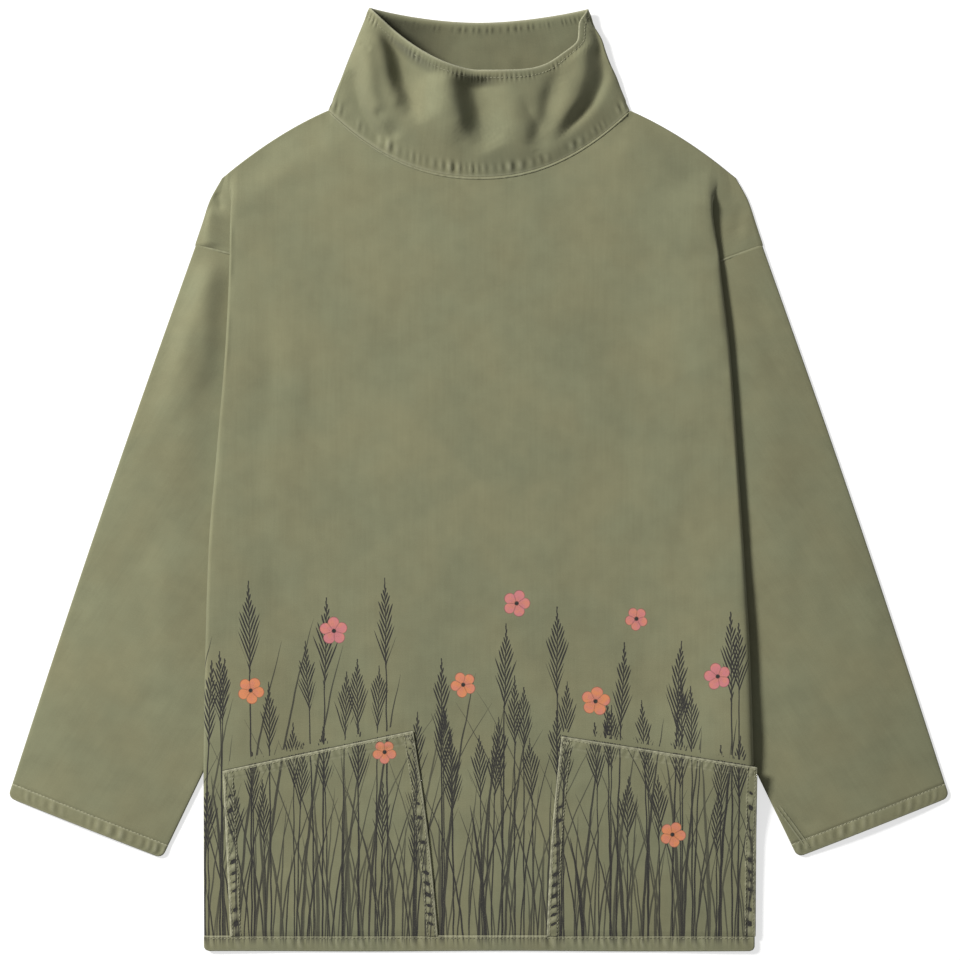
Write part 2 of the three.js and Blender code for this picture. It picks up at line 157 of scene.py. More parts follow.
@dataclass(frozen=True)
class Waves:
    """A soft unevenness: a few crossing sine waves, whose directions and phases follow a fixed rule."""

    height: float
    length: float
    phase: float = 0.0
    count: int = 5

    def at(self, x: np.ndarray, y: np.ndarray) -> np.ndarray:
        """The sum of count waves: each turns by the golden angle and is a fifth shorter than the last.

        Args:
            x: the places from side to side.
            y: the places along the cloth.

        Returns:
            The lift at each place.
        """
        total = np.zeros(np.broadcast(x, y).shape)
        for i in range(self.count):
            angle = self.phase + GOLDEN_ANGLE * i
            k = 2 * math.pi / (self.length * 0.8**i)
            run = x * math.cos(angle) + y * math.sin(angle)
            total += 0.75**i * np.sin(k * run + 1.7 * i + self.phase * 5)
        return self.height * total / 2


@dataclass(frozen=True)
class Crease:
    """A soft trough or ridge along a curve on the cloth.

    Attributes:
        points: three or four places that the curve runs through, as (x, y).
        depth: how far it presses the cloth in, or out where it is negative.
        left: how far its slope reaches on the left of its way.
        right: the same on the right.
        start: the share of its length over which it fades in.
        end: the share over which it fades out.
        power: 2 for a round bottom, and less for a sharper one.
    """

    points: tuple[tuple[float, float], ...]
    depth: float
    left: float
    right: float
    start: float = 0.35
    end: float = 0.35
    power: float = 2.0

    def press(self, x: np.ndarray, y: np.ndarray) -> np.ndarray:
        """The depth at each place: a bell across the curve, with its own width on each side.

        Args:
            x: the places from side to side.
            y: the places along the cloth.

        Returns:
            How far the cloth is pressed in at each place.
        """
        knots = np.array(self.points)
        along = np.linspace(0, len(knots) - 1, 48)
        line = np.stack([through(along, range(len(knots)), knots[:, k]) for k in (0, 1)], axis=-1)
        way = np.gradient(line, axis=0)
        way /= np.linalg.norm(way, axis=1)[:, None]
        dx, dy = x[..., None] - line[:, 0], y[..., None] - line[:, 1]
        nearest = np.argmin(dx**2 + dy**2, axis=-1)
        dx, dy = (np.take_along_axis(gap, nearest[..., None], axis=-1)[..., 0] for gap in (dx, dy))
        side = way[nearest, 0] * dy - way[nearest, 1] * dx
        t = nearest / (len(along) - 1)
        fade = smooth(t, 0, self.start) * (1 - smooth(t, 1 - self.end, 1))
        width = np.where(side > 0, self.left, self.right)
        return self.depth * fade * np.exp(-((np.hypot(dx, dy) / width) ** self.power))


@dataclass(frozen=True)
class Puckers:
    """The small waves that a row of stitches pulls into cloth when it has been washed.

    Attributes:
        height: of the waves.
        length: of one wave along the row.
        slant: how far a wave leans along the row for each millimetre across it.
    """

    height: float
    length: float
    slant: float = 0.0

    def at(self, along: np.ndarray, across: np.ndarray) -> np.ndarray:
        """Sine waves, whose length one pair of slow sines changes, and whose strength another three.

        Args:
            along: the places along the row.
            across: the places across it.

        Returns:
            The lift at each place.
        """
        run = along + self.slant * across
        wander = 1.7 * np.sin(run / 21.0) + 1.1 * np.sin(run / 9.1 + 2)
        strength = 0.6 + 0.6 * np.sin(run / 17.3 + 1) * np.sin(run / 6.1) + 0.3 * np.sin(run / 37.0 + 4)
        wave = np.sin(2 * math.pi * run / self.length + wander)
        wave = wave + 0.35 * np.sin(4.1 * run / self.length + 1)
        return self.height * np.maximum(strength, 0.05) * wave


@dataclass
class Grid:
    """Points through the middle of a piece of cloth.

    Attributes:
        points: rows by columns by 3. A point may be missing, as nan.
        pattern: where each point lies in the flat cloth, rows by columns by 2.
        marks: rows by columns by 2. First how much the dye has worn off, to 1, or how far painted
        shade darkens the cloth, to -1, and then how much ink a raised edge has caught.
        around: whether the last column meets the first again.
        thickness: of the cloth.
    """

    points: np.ndarray
    pattern: np.ndarray
    marks: np.ndarray | None = None
    around: bool = False
    thickness: float = CLOTH


def marked(worn: np.ndarray, inked: np.ndarray | float = 0.0) -> np.ndarray:
    """A grid's marks: how worn the cloth is, to 1, or how far painted shade darkens it, to -1, and how much
    ink it has caught.
    """
    return np.stack(np.broadcast_arrays(np.clip(worn, -1, 1), inked), -1)


def with_sides(middle: np.ndarray, sides: dict[Side, np.ndarray]) -> np.ndarray:
    """A grid's columns with those of its two sides, which run outward, at their ends."""
    return np.concatenate([sides[Side.RIGHT][:, ::-1], middle, sides[Side.LEFT]], axis=1)


@dataclass
class Shell:
    """A closed mesh: corners, faces of four, and what each corner holds."""

    points: np.ndarray
    faces: np.ndarray
    pattern: np.ndarray
    marks: np.ndarray


def unit(vectors: np.ndarray) -> np.ndarray:
    """The vectors at length 1."""
    return vectors / np.maximum(np.linalg.norm(vectors, axis=-1, keepdims=True), 1e-12)


def run_along(path: np.ndarray) -> np.ndarray:
    """How far along a path each of its points lies."""
    return np.concatenate([[0], np.cumsum(np.linalg.norm(np.diff(path, axis=0), axis=1))])


def run_around(rings: np.ndarray) -> np.ndarray:
    """How far around its closed ring each point lies."""
    steps = np.linalg.norm(np.diff(rings, axis=1, append=rings[:, :1]), axis=-1)
    return np.cumsum(steps, axis=1) - steps


def beside(way: np.ndarray) -> tuple[np.ndarray, np.ndarray]:
    """The directions across a path and up from it."""
    across = unit(np.cross(way, [0.0, 0.0, 1.0]))
    return across, np.cross(across, way)


def tube_faces(rings: int, sides: int) -> np.ndarray:
    """The faces of a tube with both ends closed, whose points lie ring by ring.

    Args:
        rings: how many rings it has.
        sides: how many points each has, an even number.

    Returns:
        Faces of four, pointing out.
    """
    ring, side = np.meshgrid(np.arange(rings - 1) * sides, np.arange(sides), indexing="ij")
    after = (side + 1) % sides
    wall = np.stack([ring + sides + side, ring + sides + after, ring + after, ring + side], -1)
    lid = np.array([[0, k, k + 1, k + 2] for k in range(1, sides - 2, 2)])
    return np.concatenate([wall.reshape(-1, 4), lid, lid[:, ::-1] + (rings - 1) * sides])


def thicken(grid: Grid) -> Shell:
    """Gives a grid its thickness.

    Each point moves half the thickness out along the surface's normal, and half in, and the two
    sheets are joined around every border by a rim whose middle stands half the thickness out.

    Args:
        grid: the middle of the cloth.

    Returns:
        The closed shell, with its faces pointing out.
    """
    rows, columns = grid.points.shape[:2]
    there = ~np.isnan(grid.points[..., 0])
    index = np.full((rows, columns), -1)
    index[there] = np.arange(there.sum())
    points, pattern = grid.points[there], grid.pattern[there]
    marks = np.zeros((len(points), 2)) if grid.marks is None else grid.marks[there]

    here = np.arange(columns if grid.around else columns - 1)
    after = (here + 1) % columns
    quads = np.stack(
        [index[:-1, here], index[:-1, after], index[1:, after], index[1:, here]], axis=-1
    ).reshape(-1, 4)
    quads = quads[(quads >= 0).all(axis=1)]

    flat = np.cross(points[quads[:, 2]] - points[quads[:, 0]], points[quads[:, 3]] - points[quads[:, 1]])
    normal = np.zeros_like(points)
    for corner in range(4):
        np.add.at(normal, quads[:, corner], flat)
    normal = unit(normal)

    edges = np.concatenate([quads[:, [k, (k + 1) % 4]] for k in range(4)])
    keys = np.sort(edges, axis=1) @ np.array([len(points), 1])
    _, first, uses = np.unique(keys, return_index=True, return_counts=True)
    border = edges[first[uses == 1]]
    outward = np.zeros_like(points)
    away = np.cross(unit(points[border[:, 1]] - points[border[:, 0]]), normal[border[:, 0]])
    for end in (0, 1):
        np.add.at(outward, border[:, end], away)
    on_rim = np.unique(border)
    rim_index = np.zeros(len(points), int)
    rim_index[on_rim] = np.arange(len(on_rim)) + 2 * len(points)

    half = grid.thickness / 2
    rim = points[on_rim] + unit(outward[on_rim]) * half
    low, (a, b) = len(points), border.T
    faces = np.concatenate(
        [
            quads,
            quads[:, ::-1] + low,
            np.stack([b, a, rim_index[a], rim_index[b]], axis=-1),
            np.stack([a + low, b + low, rim_index[b], rim_index[a]], axis=-1),
        ]
    )
    return Shell(
        np.concatenate([points + normal * half, points - normal * half, rim]),
        faces,
        np.concatenate([pattern, pattern, pattern[on_rim]]),
        np.concatenate([marks, marks, marks[on_rim]]),
    )


def joined(shells: list[Shell]) -> Shell:
    """Several shells as one.

    Args:
        shells: the shells, one or more.

    Returns:
        One shell with all their points and faces.
    """
    starts = np.cumsum([0] + [len(shell.points) for shell in shells[:-1]])
    return Shell(
        np.concatenate([shell.points for shell in shells]),
        np.concatenate([shell.faces + start for shell, start in zip(shells, starts)]),
        np.concatenate([shell.pattern for shell in shells]),
        np.concatenate([shell.marks for shell in shells]),
    )


def placed(name: str, data: bpy.types.ID) -> bpy.types.Object:
    """A new object in the scene, at the origin."""
    thing = bpy.data.objects.new(name, data)
    bpy.context.scene.collection.objects.link(thing)
    return thing


def to_object(name: str, shell: Shell, material: bpy.types.Material) -> bpy.types.Object:
    """Puts a shell into a new mesh object, in metres in the frame.

    Args:
        name: the object's name.
        shell: the mesh, in millimetres in the drawing.
        material: its finish.

    Returns:
        The object. Its UV map "cloth" holds the place in the flat cloth in metres, and its attributes
        "worn" and "inked" the shell's marks.
    """
    points = (shell.points + np.array([*DRAWING_ORIGIN, 0])) * MM
    mesh = bpy.data.meshes.new(name)
    mesh.from_pydata(points.tolist(), [], shell.faces.tolist())
    mesh.update()
    corners = np.zeros(len(mesh.loops), int)
    mesh.loops.foreach_get("vertex_index", corners)
    uv = mesh.uv_layers.new(name="cloth")
    uv.data.foreach_set("uv", (shell.pattern[corners] * MM).astype(np.float32).ravel())
    for mark, values in zip(("worn", "inked"), shell.marks.T):
        attribute = mesh.attributes.new(mark, "FLOAT", "POINT")
        attribute.data.foreach_set("value", values.astype(np.float32))
    mesh.polygons.foreach_set("use_smooth", np.ones(len(mesh.polygons), bool))
    mesh.materials.append(material)
    log.info("%s: %d faces", name, len(mesh.polygons))
    return placed(name, mesh)


def stitches(path: np.ndarray, length: float = 2.7, gap: float = 0.7, radius: float = 0.33) -> Shell:
    """A row of stitches along a path: short threads with round ends that dip into the cloth.

    A thread is a tube whose radius follows the half sine of its length.

    Args:
        path: points along the row, on the surface of the cloth.
        length: of one stitch.
        gap: between two stitches.
        radius: of the thread.

    Returns:
        All the stitches as one shell.
    """
    rings, sides = 5, 6
    run = run_along(path)
    count = max(int(run[-1] // (length + gap)), 1)
    starts = (np.arange(count) + 0.5) * run[-1] / count - length / 2
    t = np.linspace(0, 1, rings)
    at = starts[:, None] + length * t
    centre = np.stack([np.interp(at, run, path[:, k]) for k in range(3)], axis=-1)
    across, up = beside(unit(centre[:, -1] - centre[:, 0]))
    turn = 2 * math.pi * np.arange(sides) / sides
    size = radius * (0.25 + 0.75 * np.sin(math.pi * t))
    circle = across[:, None, None] * np.cos(turn)[:, None] + up[:, None, None] * np.sin(turn)[:, None]
    arc = up[:, None, None] * (0.55 * size)[None, :, None, None]
    points = (centre[:, :, None] + circle * size[None, :, None, None] + arc).reshape(-1, 3)
    starts_at = rings * sides * np.arange(count)[:, None, None]
    faces = (tube_faces(rings, sides) + starts_at).reshape(-1, 4)
    return Shell(points, faces, points[:, :2].copy(), np.zeros((len(points), 2)))


@dataclass(frozen=True)
class SideEdge:
    """The front's two side edges at one height.

    Attributes:
        y: the height.
        right: distance of the right edge from the centre.
        left: the same on the left.
        right_roll: radius of the right roll.
        left_roll: the same on the left.
        tuck: how far the cloth runs back under itself.
        under: height of what the pleat lies on.
    """

    y: float
    right: float
    left: float
    right_roll: float
    left_roll: float
    tuck: float
    under: float


SIDE_EDGES = (
    SideEdge(292, 222.0, 212.0, 1.0, 1.2, 0.4, 2.7),
    SideEdge(264, 223.5, 210.5, 1.0, 2.2, 0.3, 4.1),
    SideEdge(240, 225.8, 212.5, 1.5, 3.0, 0.8, 4.0),
    SideEdge(222, 226.3, 215.2, 1.7, 2.3, 10, 3.9),
    SideEdge(206, 226.5, 218.0, 1.8, 1.9, 20, 3.9),
    SideEdge(188, 227.0, 219.6, 2.0, 2.9, 22, 3.9),
    SideEdge(118, 230.5, 227.8, 2.4, 3.2, 30, 3.9),
    SideEdge(25, 238.3, 234.5, 2.7, 3.4, 30, 3.9),
    SideEdge(-64, 245.6, 240.4, 2.9, 4.0, 30, 3.9),
    SideEdge(-157, 248.5, 245.8, 2.8, 5.0, 26, 3.9),
    SideEdge(-230, 249.8, 248.4, 2.3, 5.6, 18, 3.9),
    SideEdge(-264, 250.2, 249.2, 1.8, 4.4, 12, 3.9),
    SideEdge(-330, 250.2, 250.0, 0.9, 0.9, 9, 1.9),
    SideEdge(-400, 250.0, 250.2, 0.9, 0.9, 9, 0.6),
    SideEdge(-427.7, 249.8, 250.3, 0.9, 0.9, 9, 0.6),
)


@dataclass(frozen=True)
class Body:
    """The lines that the front, the back, the sleeves and the collar share.

    Attributes:
        hem_depth: how deep the hem's turning is.
        front_neck_dip, back_neck_dip, neck_curve: how far the neck seams hang, and their power.
        edge_band, top_edge_band, top_band: how far in the edges' heights reach.
        apex_y, pleat_full_y, turn_start_y: where the side pleats end at the top, and turn over.
        seam_y: where the right and left armhole seams go under the body's edges.
        cap_along, cap_x, cap_y: the shoulder caps' outer edge, point by point.
    """

    hem_y: float = -427.7
    hem_depth: float = 13.2
    shoulder_y: float = 336
    neck_half: float = 136.5
    shoulder_bulge: float = 5.0
    front_neck_dip: float = 60.6
    back_neck_dip: float = 17
    neck_curve: float = 2.2
    neck_lift: float = 5
    front_height: float = 7.2
    hem_slope: float = 0.016
    edge_band: float = 100
    top_edge_band: float = 45
    top_band: float = 40
    apex_y: float = 266
    pleat_full_y: float = 238
    turn_start_y: float = 294
    corner: float = 4.0
    seam_y: tuple[float, float] = (206, 199)
    cap_along: tuple[float, ...] = (0, 1 / 3, 2 / 3, 1)
    cap_x: tuple[float, ...] = (233.2, 244.5, 251.8, 257.8)
    cap_y: tuple[float, ...] = (274.2, 253.4, 231.6, 213.5)

    def column(self, name: str, y: np.ndarray) -> np.ndarray:
        """One column of the table of side edges, at any height."""
        return through(y, [row.y for row in SIDE_EDGES], [getattr(row, name) for row in SIDE_EDGES])

    def edge(self, side: Side, y: np.ndarray) -> np.ndarray:
        """How far the body's edge lies from the centre."""
        return self.column(side.word, y)

    def reach(self, way: np.ndarray, y: np.ndarray) -> np.ndarray:
        """How far the body's edge lies from the centre, on the side that the sign of way tells."""
        return np.where(way < 0, self.edge(Side.RIGHT, y), self.edge(Side.LEFT, y))

    def seam(self, side: Side) -> float:
        """Where the armhole seam goes under the body's edge."""
        return self.seam_y[side.last]

    def cap(self, along: np.ndarray) -> tuple[np.ndarray, np.ndarray]:
        """A point of the shoulder cap's outer edge, as distance from the centre and height."""
        return through(along, self.cap_along, self.cap_x), through(along, self.cap_along, self.cap_y)

    def neck_seam(self, x: np.ndarray, dip: float) -> np.ndarray:
        """The neck seam: a power curve that hangs dip below the shoulders."""
        share = np.minimum(np.abs(x) / self.neck_half, 1)
        return self.shoulder_y - dip * (1 - share**self.neck_curve)

    def upper_edge(self, x: np.ndarray) -> np.ndarray:
        """The neck seam, then the shoulders down to the pleats, which arch by a parabola.

        Args:
            x: the places from side to side.

        Returns:
            The edge's height in the drawing at each.
        """
        share = (np.abs(x) - self.neck_half) / (self.cap_x[0] - self.neck_half)
        arch = self.shoulder_bulge * 4 * share * (1 - share)
        shoulder = mix(self.shoulder_y, self.cap_y[0], share) + arch
        return np.where(share <= 0, self.neck_seam(x, self.front_neck_dip), shoulder)

    def neck_height(self, x: np.ndarray) -> np.ndarray:
        """Height of the neck seam above the table, highest at the centre."""
        return ON_BACK + self.neck_lift * Collar.towards_side(np.minimum(np.abs(x) / self.neck_half, 1))

    def turn(self, y: np.ndarray) -> np.ndarray:
        """How far a side pleat is turned over, from 0 at the shoulder to half a turn."""
        return math.pi * (1 - smooth(y, self.pleat_full_y, self.turn_start_y)) ** 2

    def pleat(self, side: Side, y: np.ndarray, steps: tuple[int, int, int]) -> tuple[np.ndarray, np.ndarray]:
        """The line of cloth across a side pleat: it rolls over, runs back, and folds out again.

        Args:
            side: which side.
            y: the heights, one for each row.
            steps: how many steps the roll, the stretch under it and the fold have.

        Returns:
            How far out and how far down each point lies from where the roll begins, rows by steps.
        """
        turn = self.turn(y)
        roll = math.pi * self.column(side.word + "_roll", y)
        lengths = (roll, self.column("tuck", y), math.pi * FOLD_RADIUS)
        turns = (turn, np.zeros_like(turn), -turn)
        heading, out, down = np.zeros_like(turn), [], []
        for count, length, angle in zip(steps, lengths, turns):
            for _ in range(count):
                direction = heading + angle / count / 2
                out.append(length / count * np.cos(direction))
                down.append(length / count * np.sin(direction))
                heading = heading + angle / count
        return np.cumsum(out, axis=0).T, np.cumsum(down, axis=0).T

    def roll_start(self, side: Side, y: np.ndarray) -> np.ndarray:
        """Where the front's flat part ends and its roll begins."""
        roll = self.column(side.word + "_roll", y)
        return self.edge(side, y) - CLOTH / 2 - roll * np.sin(np.minimum(self.turn(y), math.pi / 2))

    def roll_height(self, side: Side, y: np.ndarray) -> np.ndarray:
        """Height of the front where its roll begins."""
        return self.column("under", y) + self.pleat(side, y, (5, 2, 4))[1][:, -1]

    def rounding(self, up: np.ndarray) -> np.ndarray:
        """How far a turned corner's rounding takes its side in, at a height above the hem's edge."""
        return corner_inset(up, self.corner)

    def height(self, x: np.ndarray, y: np.ndarray) -> np.ndarray:
        """Height of the middle of the front's cloth at places of its flat part, without its creases.

        The middle's height blends into the neck seam's at the top and into the rolls' at the sides.

        Args:
            x: the places from side to side.
            y: the places along the cloth.

        Returns:
            The height at each.
        """
        x, y = np.broadcast_arrays(np.asarray(x, float), np.asarray(y, float))
        middle = np.minimum(self.front_height, ON_BACK + self.hem_slope * (y - self.hem_y))
        at_top = np.where(np.abs(x) < self.neck_half, self.neck_height(x), ON_BACK)
        field_height = mix(at_top, middle, smooth(self.upper_edge(x) - y, 0, self.top_band))
        result, band = field_height, mix(self.edge_band, self.top_edge_band, smooth(y, 150, 245))
        for side in Side:
            start = self.roll_start(side, y)
            top = self.roll_height(side, y.ravel()).reshape(y.shape)
            near = smooth(np.abs(x), start - band, start)
            result = np.where(x * side.value > 0, mix(field_height, top, near), result)
        return result


FRONT_CREASES = (
    Crease(((140, 336), (133, 327), (127, 314)), 1.8, 3.5, 6, 0.2, 0.6),
    Crease(((-140, 334), (-130, 322), (-120, 318)), 1.0, 5, 4, 0.2, 0.6),
    Crease(((150, 330), (172, 300), (196, 262)), 0.8, 16, 12),
    Crease(((-150, 326), (-176, 292), (-196, 250)), -0.9, 18, 16),
    Crease(((120, 262), (150, 190), (168, 100)), 0.7, 22, 16),
    Crease(((-40, 262), (-70, 180), (-78, 80)), 0.6, 26, 18),
    Crease(((205, 60), (190, -10), (186, -90)), 0.9, 18, 14),
    Crease(((-214, 30), (-190, -60), (-170, -160)), 0.8, 20, 14),
    Crease(((60, 20), (20, -60), (10, -150)), 0.6, 28, 18),
    Crease(((-196, 192), (-190, 120), (-198, 40), (-206, -40)), 1.0, 9, 13),
    Crease(((-172, 160), (-168, 90), (-174, 10)), -0.7, 10, 10),
    Crease(((-120, -10), (-40, -60), (40, -64)), -0.5, 24, 24),
)


CAP_CREASES = (
    Crease(((-238, 262), (-236, 254), (-232, 246)), 1.5, 3, 4, 0.2, 0.3),
    Crease(((-244, 250), (-247, 234), (-248, 212)), -3.8, 13, 10, 0.3, 0.05),
    Crease(((238, 252), (236, 236), (233, 214)), 0.7, 6, 5),
    Crease(((246, 240), (244, 226), (241, 212)), -0.6, 5, 6),
)


@dataclass
class Front:
    """The front: flat from side to side, with a pleat and a shoulder cap at each end.

    Attributes:
        hem_half: how far from the centre the hem lies flat.
        under_hem: how far the front runs on under the hem's turning.
    """

    body: Body
    columns: int = 126
    yoke_rows: int = 30
    body_rows: int = 136
    pleat_steps: tuple[int, int, int] = (12, 6, 4)
    cap_steps: int = 16
    hem_columns: int = 430
    hem_half: float = 246
    under_hem: float = 1.4
    waves: Waves = Waves(0.42, 150, 0.6)
    small_waves: Waves = Waves(0.12, 34, 2.1)

    def relief(self, x: np.ndarray, y: np.ndarray) -> np.ndarray:
        """How far creases and waves lift the cloth, fading out at the neck, the side edges and the hem.

        Args:
            x: the places from side to side.
            y: the places along the cloth.

        Returns:
            The lift at each.
        """
        lift = self.waves.at(x, y) + self.small_waves.at(x, y)
        for crease in FRONT_CREASES:
            lift = lift - crease.press(x, y)
        calm = smooth(self.body.upper_edge(x) - y, 0, 12)
        calm = calm * (1 - 0.75 * smooth(np.abs(x), 222, 246))
        calm = calm * smooth(y, self.body.hem_y, self.body.hem_y + 60)
        return lift * calm

    def surface(self, x: np.ndarray, y: np.ndarray) -> np.ndarray:
        """Height of the middle of the cloth with its creases."""
        return self.body.height(x, y) + self.relief(x, y)

    def flat_part(self, share: np.ndarray, yoke: np.ndarray, down: np.ndarray) -> np.ndarray:
        """Places of the flat part, as x and y.

        Args:
            share: from -1 at the right edge to 1 at the left.
            yoke: 0 at the shoulders to 1 at the armhole seams, for the rows above these.
            down: 0 at the armhole seams to 1 at the hem, for the rows below.

        Returns:
            Rows by columns by 2.
        """
        body, share = self.body, share[None, :]
        seam = mix(body.seam_y[0], body.seam_y[1], (share + 1) / 2)
        upper = np.zeros((yoke.size, share.size, 2))
        lower = np.zeros((down.size, share.size, 2))
        yoke, down = yoke[:, None], down[:, None]
        for side in Side:
            mask = share[0] * side.value >= 0
            part = share[:, mask]
            top = body.upper_edge(part * body.edge(side, np.array([body.apex_y])))
            x = part * body.roll_start(side, mix(top, seam[:, mask], yoke))
            upper[:, mask] = np.stack([x, mix(body.upper_edge(x) - EDGE_GAP / 2, seam[:, mask], yoke)], -1)
            y = mix(seam[:, mask], body.hem_y, down)
            lower[:, mask] = np.stack([part * body.roll_start(side, y), y], -1)
        return np.concatenate([upper, lower])

    def side_part(self, side: Side, y: np.ndarray, yoke: np.ndarray) -> tuple[np.ndarray, np.ndarray]:
        """A pleat and its shoulder cap.

        Args:
            side: which side.
            y: the height at which each row leaves the flat part.
            yoke: each row's share of the way down the shoulder cap, or nan below the armhole seam.

        Returns:
            The points, and how far along the cloth each lies from the flat part.
        """
        body, sign = self.body, side.value
        out, down = body.pleat(side, y, self.pleat_steps)
        start, top = body.roll_start(side, y), body.column("under", y) + down[:, -1]
        above_seam = 1 - np.where(np.isnan(yoke), 1, yoke)
        fall = (body.upper_edge(start[:, None] + out) - body.upper_edge(start)[:, None]) * above_seam[:, None]
        pleat = np.stack([sign * (start[:, None] + out), y[:, None] + fall, top[:, None] - down], -1)
        share = shares(self.cap_steps)[1:][None, :]
        edge_x, edge_y = body.cap(yoke)
        x = mix(pleat[:, -1:, 0], sign * edge_x[:, None], share)
        body_edge = body.edge(side, np.array([body.seam(side)]))
        beyond = np.maximum((np.abs(x) - body_edge) / (edge_x[:, None] - body_edge), 0)
        cap_y = mix(pleat[:, -1:, 1], edge_y[:, None], mix(share, beyond, yoke[:, None]))
        seam_height = Sleeve.top_height(body, side, x, np.full_like(x, body.seam(side)), np.zeros_like(x))
        target = mix(ON_BACK, seam_height, yoke[:, None] * (1 - share**3))
        z = mix(pleat[:, -1:, 2], target, np.minimum(2 * share, 1))
        calm = smooth(share, 0, 0.2) * (1 - smooth(share, 0.8, 1)) * smooth(yoke[:, None], 0, 0.15)
        z = z - calm * sum(crease.press(x, cap_y) for crease in CAP_CREASES)
        cap = np.stack([x, cap_y, z], -1)
        points = np.concatenate([pleat, cap], axis=1)
        hidden = np.isnan(yoke)[:, None] & (np.arange(points.shape[1]) >= sum(self.pleat_steps[:2]))[None, :]
        points[hidden] = np.nan
        first = np.stack([sign * start, y, top], -1)[:, None]
        whole = np.where(np.isnan(points), 0, points)
        steps = np.diff(np.concatenate([first, whole], 1), axis=1)
        return points, np.cumsum(np.linalg.norm(steps, axis=-1), axis=1)

    def grid(self) -> Grid:
        """The whole front above its hem's stitching.

        Returns:
            The grid, from the hem up and from the right cap to the left.
        """
        body = self.body
        stitch = 1 - (body.hem_depth - self.under_hem) / (body.seam_y[0] - body.hem_y)
        yoke = np.concatenate([[0, 0.008], shares(self.yoke_rows)[1:]])
        down = shares(self.body_rows)[1:] * stitch
        share = shares(self.columns) * 2 - 1
        flat = self.flat_part(share, yoke, down)
        x, y = flat[..., 0], flat[..., 1]
        middle = np.stack([x, y, self.surface(x, y)], -1)
        rows = np.concatenate([yoke, np.full(len(down), np.nan)])
        caps, places = {}, {}
        for side in Side:
            edge_x, edge_y = np.abs(x[:, side.last]), y[:, side.last]
            caps[side], length = self.side_part(side, edge_y, rows)
            level = np.repeat(edge_y[:, None], length.shape[1], 1)
            places[side] = np.stack([side.value * (edge_x[:, None] + length), level], -1)
        return Grid(with_sides(middle, caps)[::-1], with_sides(flat, places)[::-1])

    def hem(self) -> Grid:
        """The hem: a turned edge with two more layers in it, which its stitching puckers.

        Returns:
            The grid, from the bottom edge up to the stitching.
        """
        body = self.body
        along = rimmed(self.hem_columns, 500) * 2 - 1
        across = np.concatenate([[0, 0.06], shares(9)[1:-1], [0.95, 1]])[:, None]
        y = np.repeat(body.hem_y + body.hem_depth * across, len(along), 1)
        reach = body.reach(along, y[0]) - CLOTH / 2
        x = along * (reach - body.rounding(y - body.hem_y))
        wave = Puckers(1, 7.5, 0.3).at(x, y - body.hem_y)
        bell = np.sin(math.pi * across)
        flat_x = np.clip(x, -self.hem_half, self.hem_half)
        z = body.height(flat_x, y) + 0.55 * bell**0.7 + 0.42 * wave * bell
        lowest = 0.3 * np.sin(x / 41 + 1) * (1 - across)
        edges = 0.75 * smooth(across, 0.86, 1) + 0.35 * (1 - smooth(across, 0, 0.12))
        # Paler on the puckers' crests where the cloth has worn, and darker in their troughs: painted shade.
        marks = marked(0.06 + edges + 0.22 * wave * bell)
        return Grid(np.stack([x, y + lowest, z], -1), np.stack([x, y], -1), marks, thickness=CLOTH + 0.5)

    def line(self, x: np.ndarray, y: np.ndarray, lift: float) -> np.ndarray:
        """A path on the front's upper face."""
        return np.stack([x, y, self.surface(x, y) + CLOTH / 2 + lift], -1)

    def neck_line(self) -> np.ndarray:
        """The path of the neck seam's raised edge."""
        x = np.linspace(-136, 136, 240)
        return self.line(x, self.body.neck_seam(x, self.body.front_neck_dip) - 1.6, -0.1)

    def hem_line(self) -> np.ndarray:
        """The path of the hem's stitching."""
        x = np.linspace(-self.hem_half, self.hem_half, 300)
        return self.line(x, np.full(x.shape, self.body.hem_y + self.body.hem_depth - 2.0), 0.75)

    def armhole(self, side: Side) -> np.ndarray:
        """The path of an armhole seam, from under the body's edge to the outer edge.

        Args:
            side: which side.

        Returns:
            Points along the seam, on the cloth.
        """
        body = self.body
        share = shares(30)
        edge = body.edge(side, np.array([body.seam(side)]))[0]
        x = mix(edge - 3, body.cap_x[-1] - 0.4, share)
        seam = body.seam(side)
        y = mix(seam, body.cap_y[-1], np.maximum((x - edge) / (body.cap_x[-1] - edge), 0)) - EDGE_GAP / 2
        top = Sleeve.top_height(body, side, x, np.full_like(x, seam), np.zeros_like(x))
        return np.stack([side.value * x, y, mix(top, ON_BACK, share**3) + CLOTH / 2 - 0.1], -1)


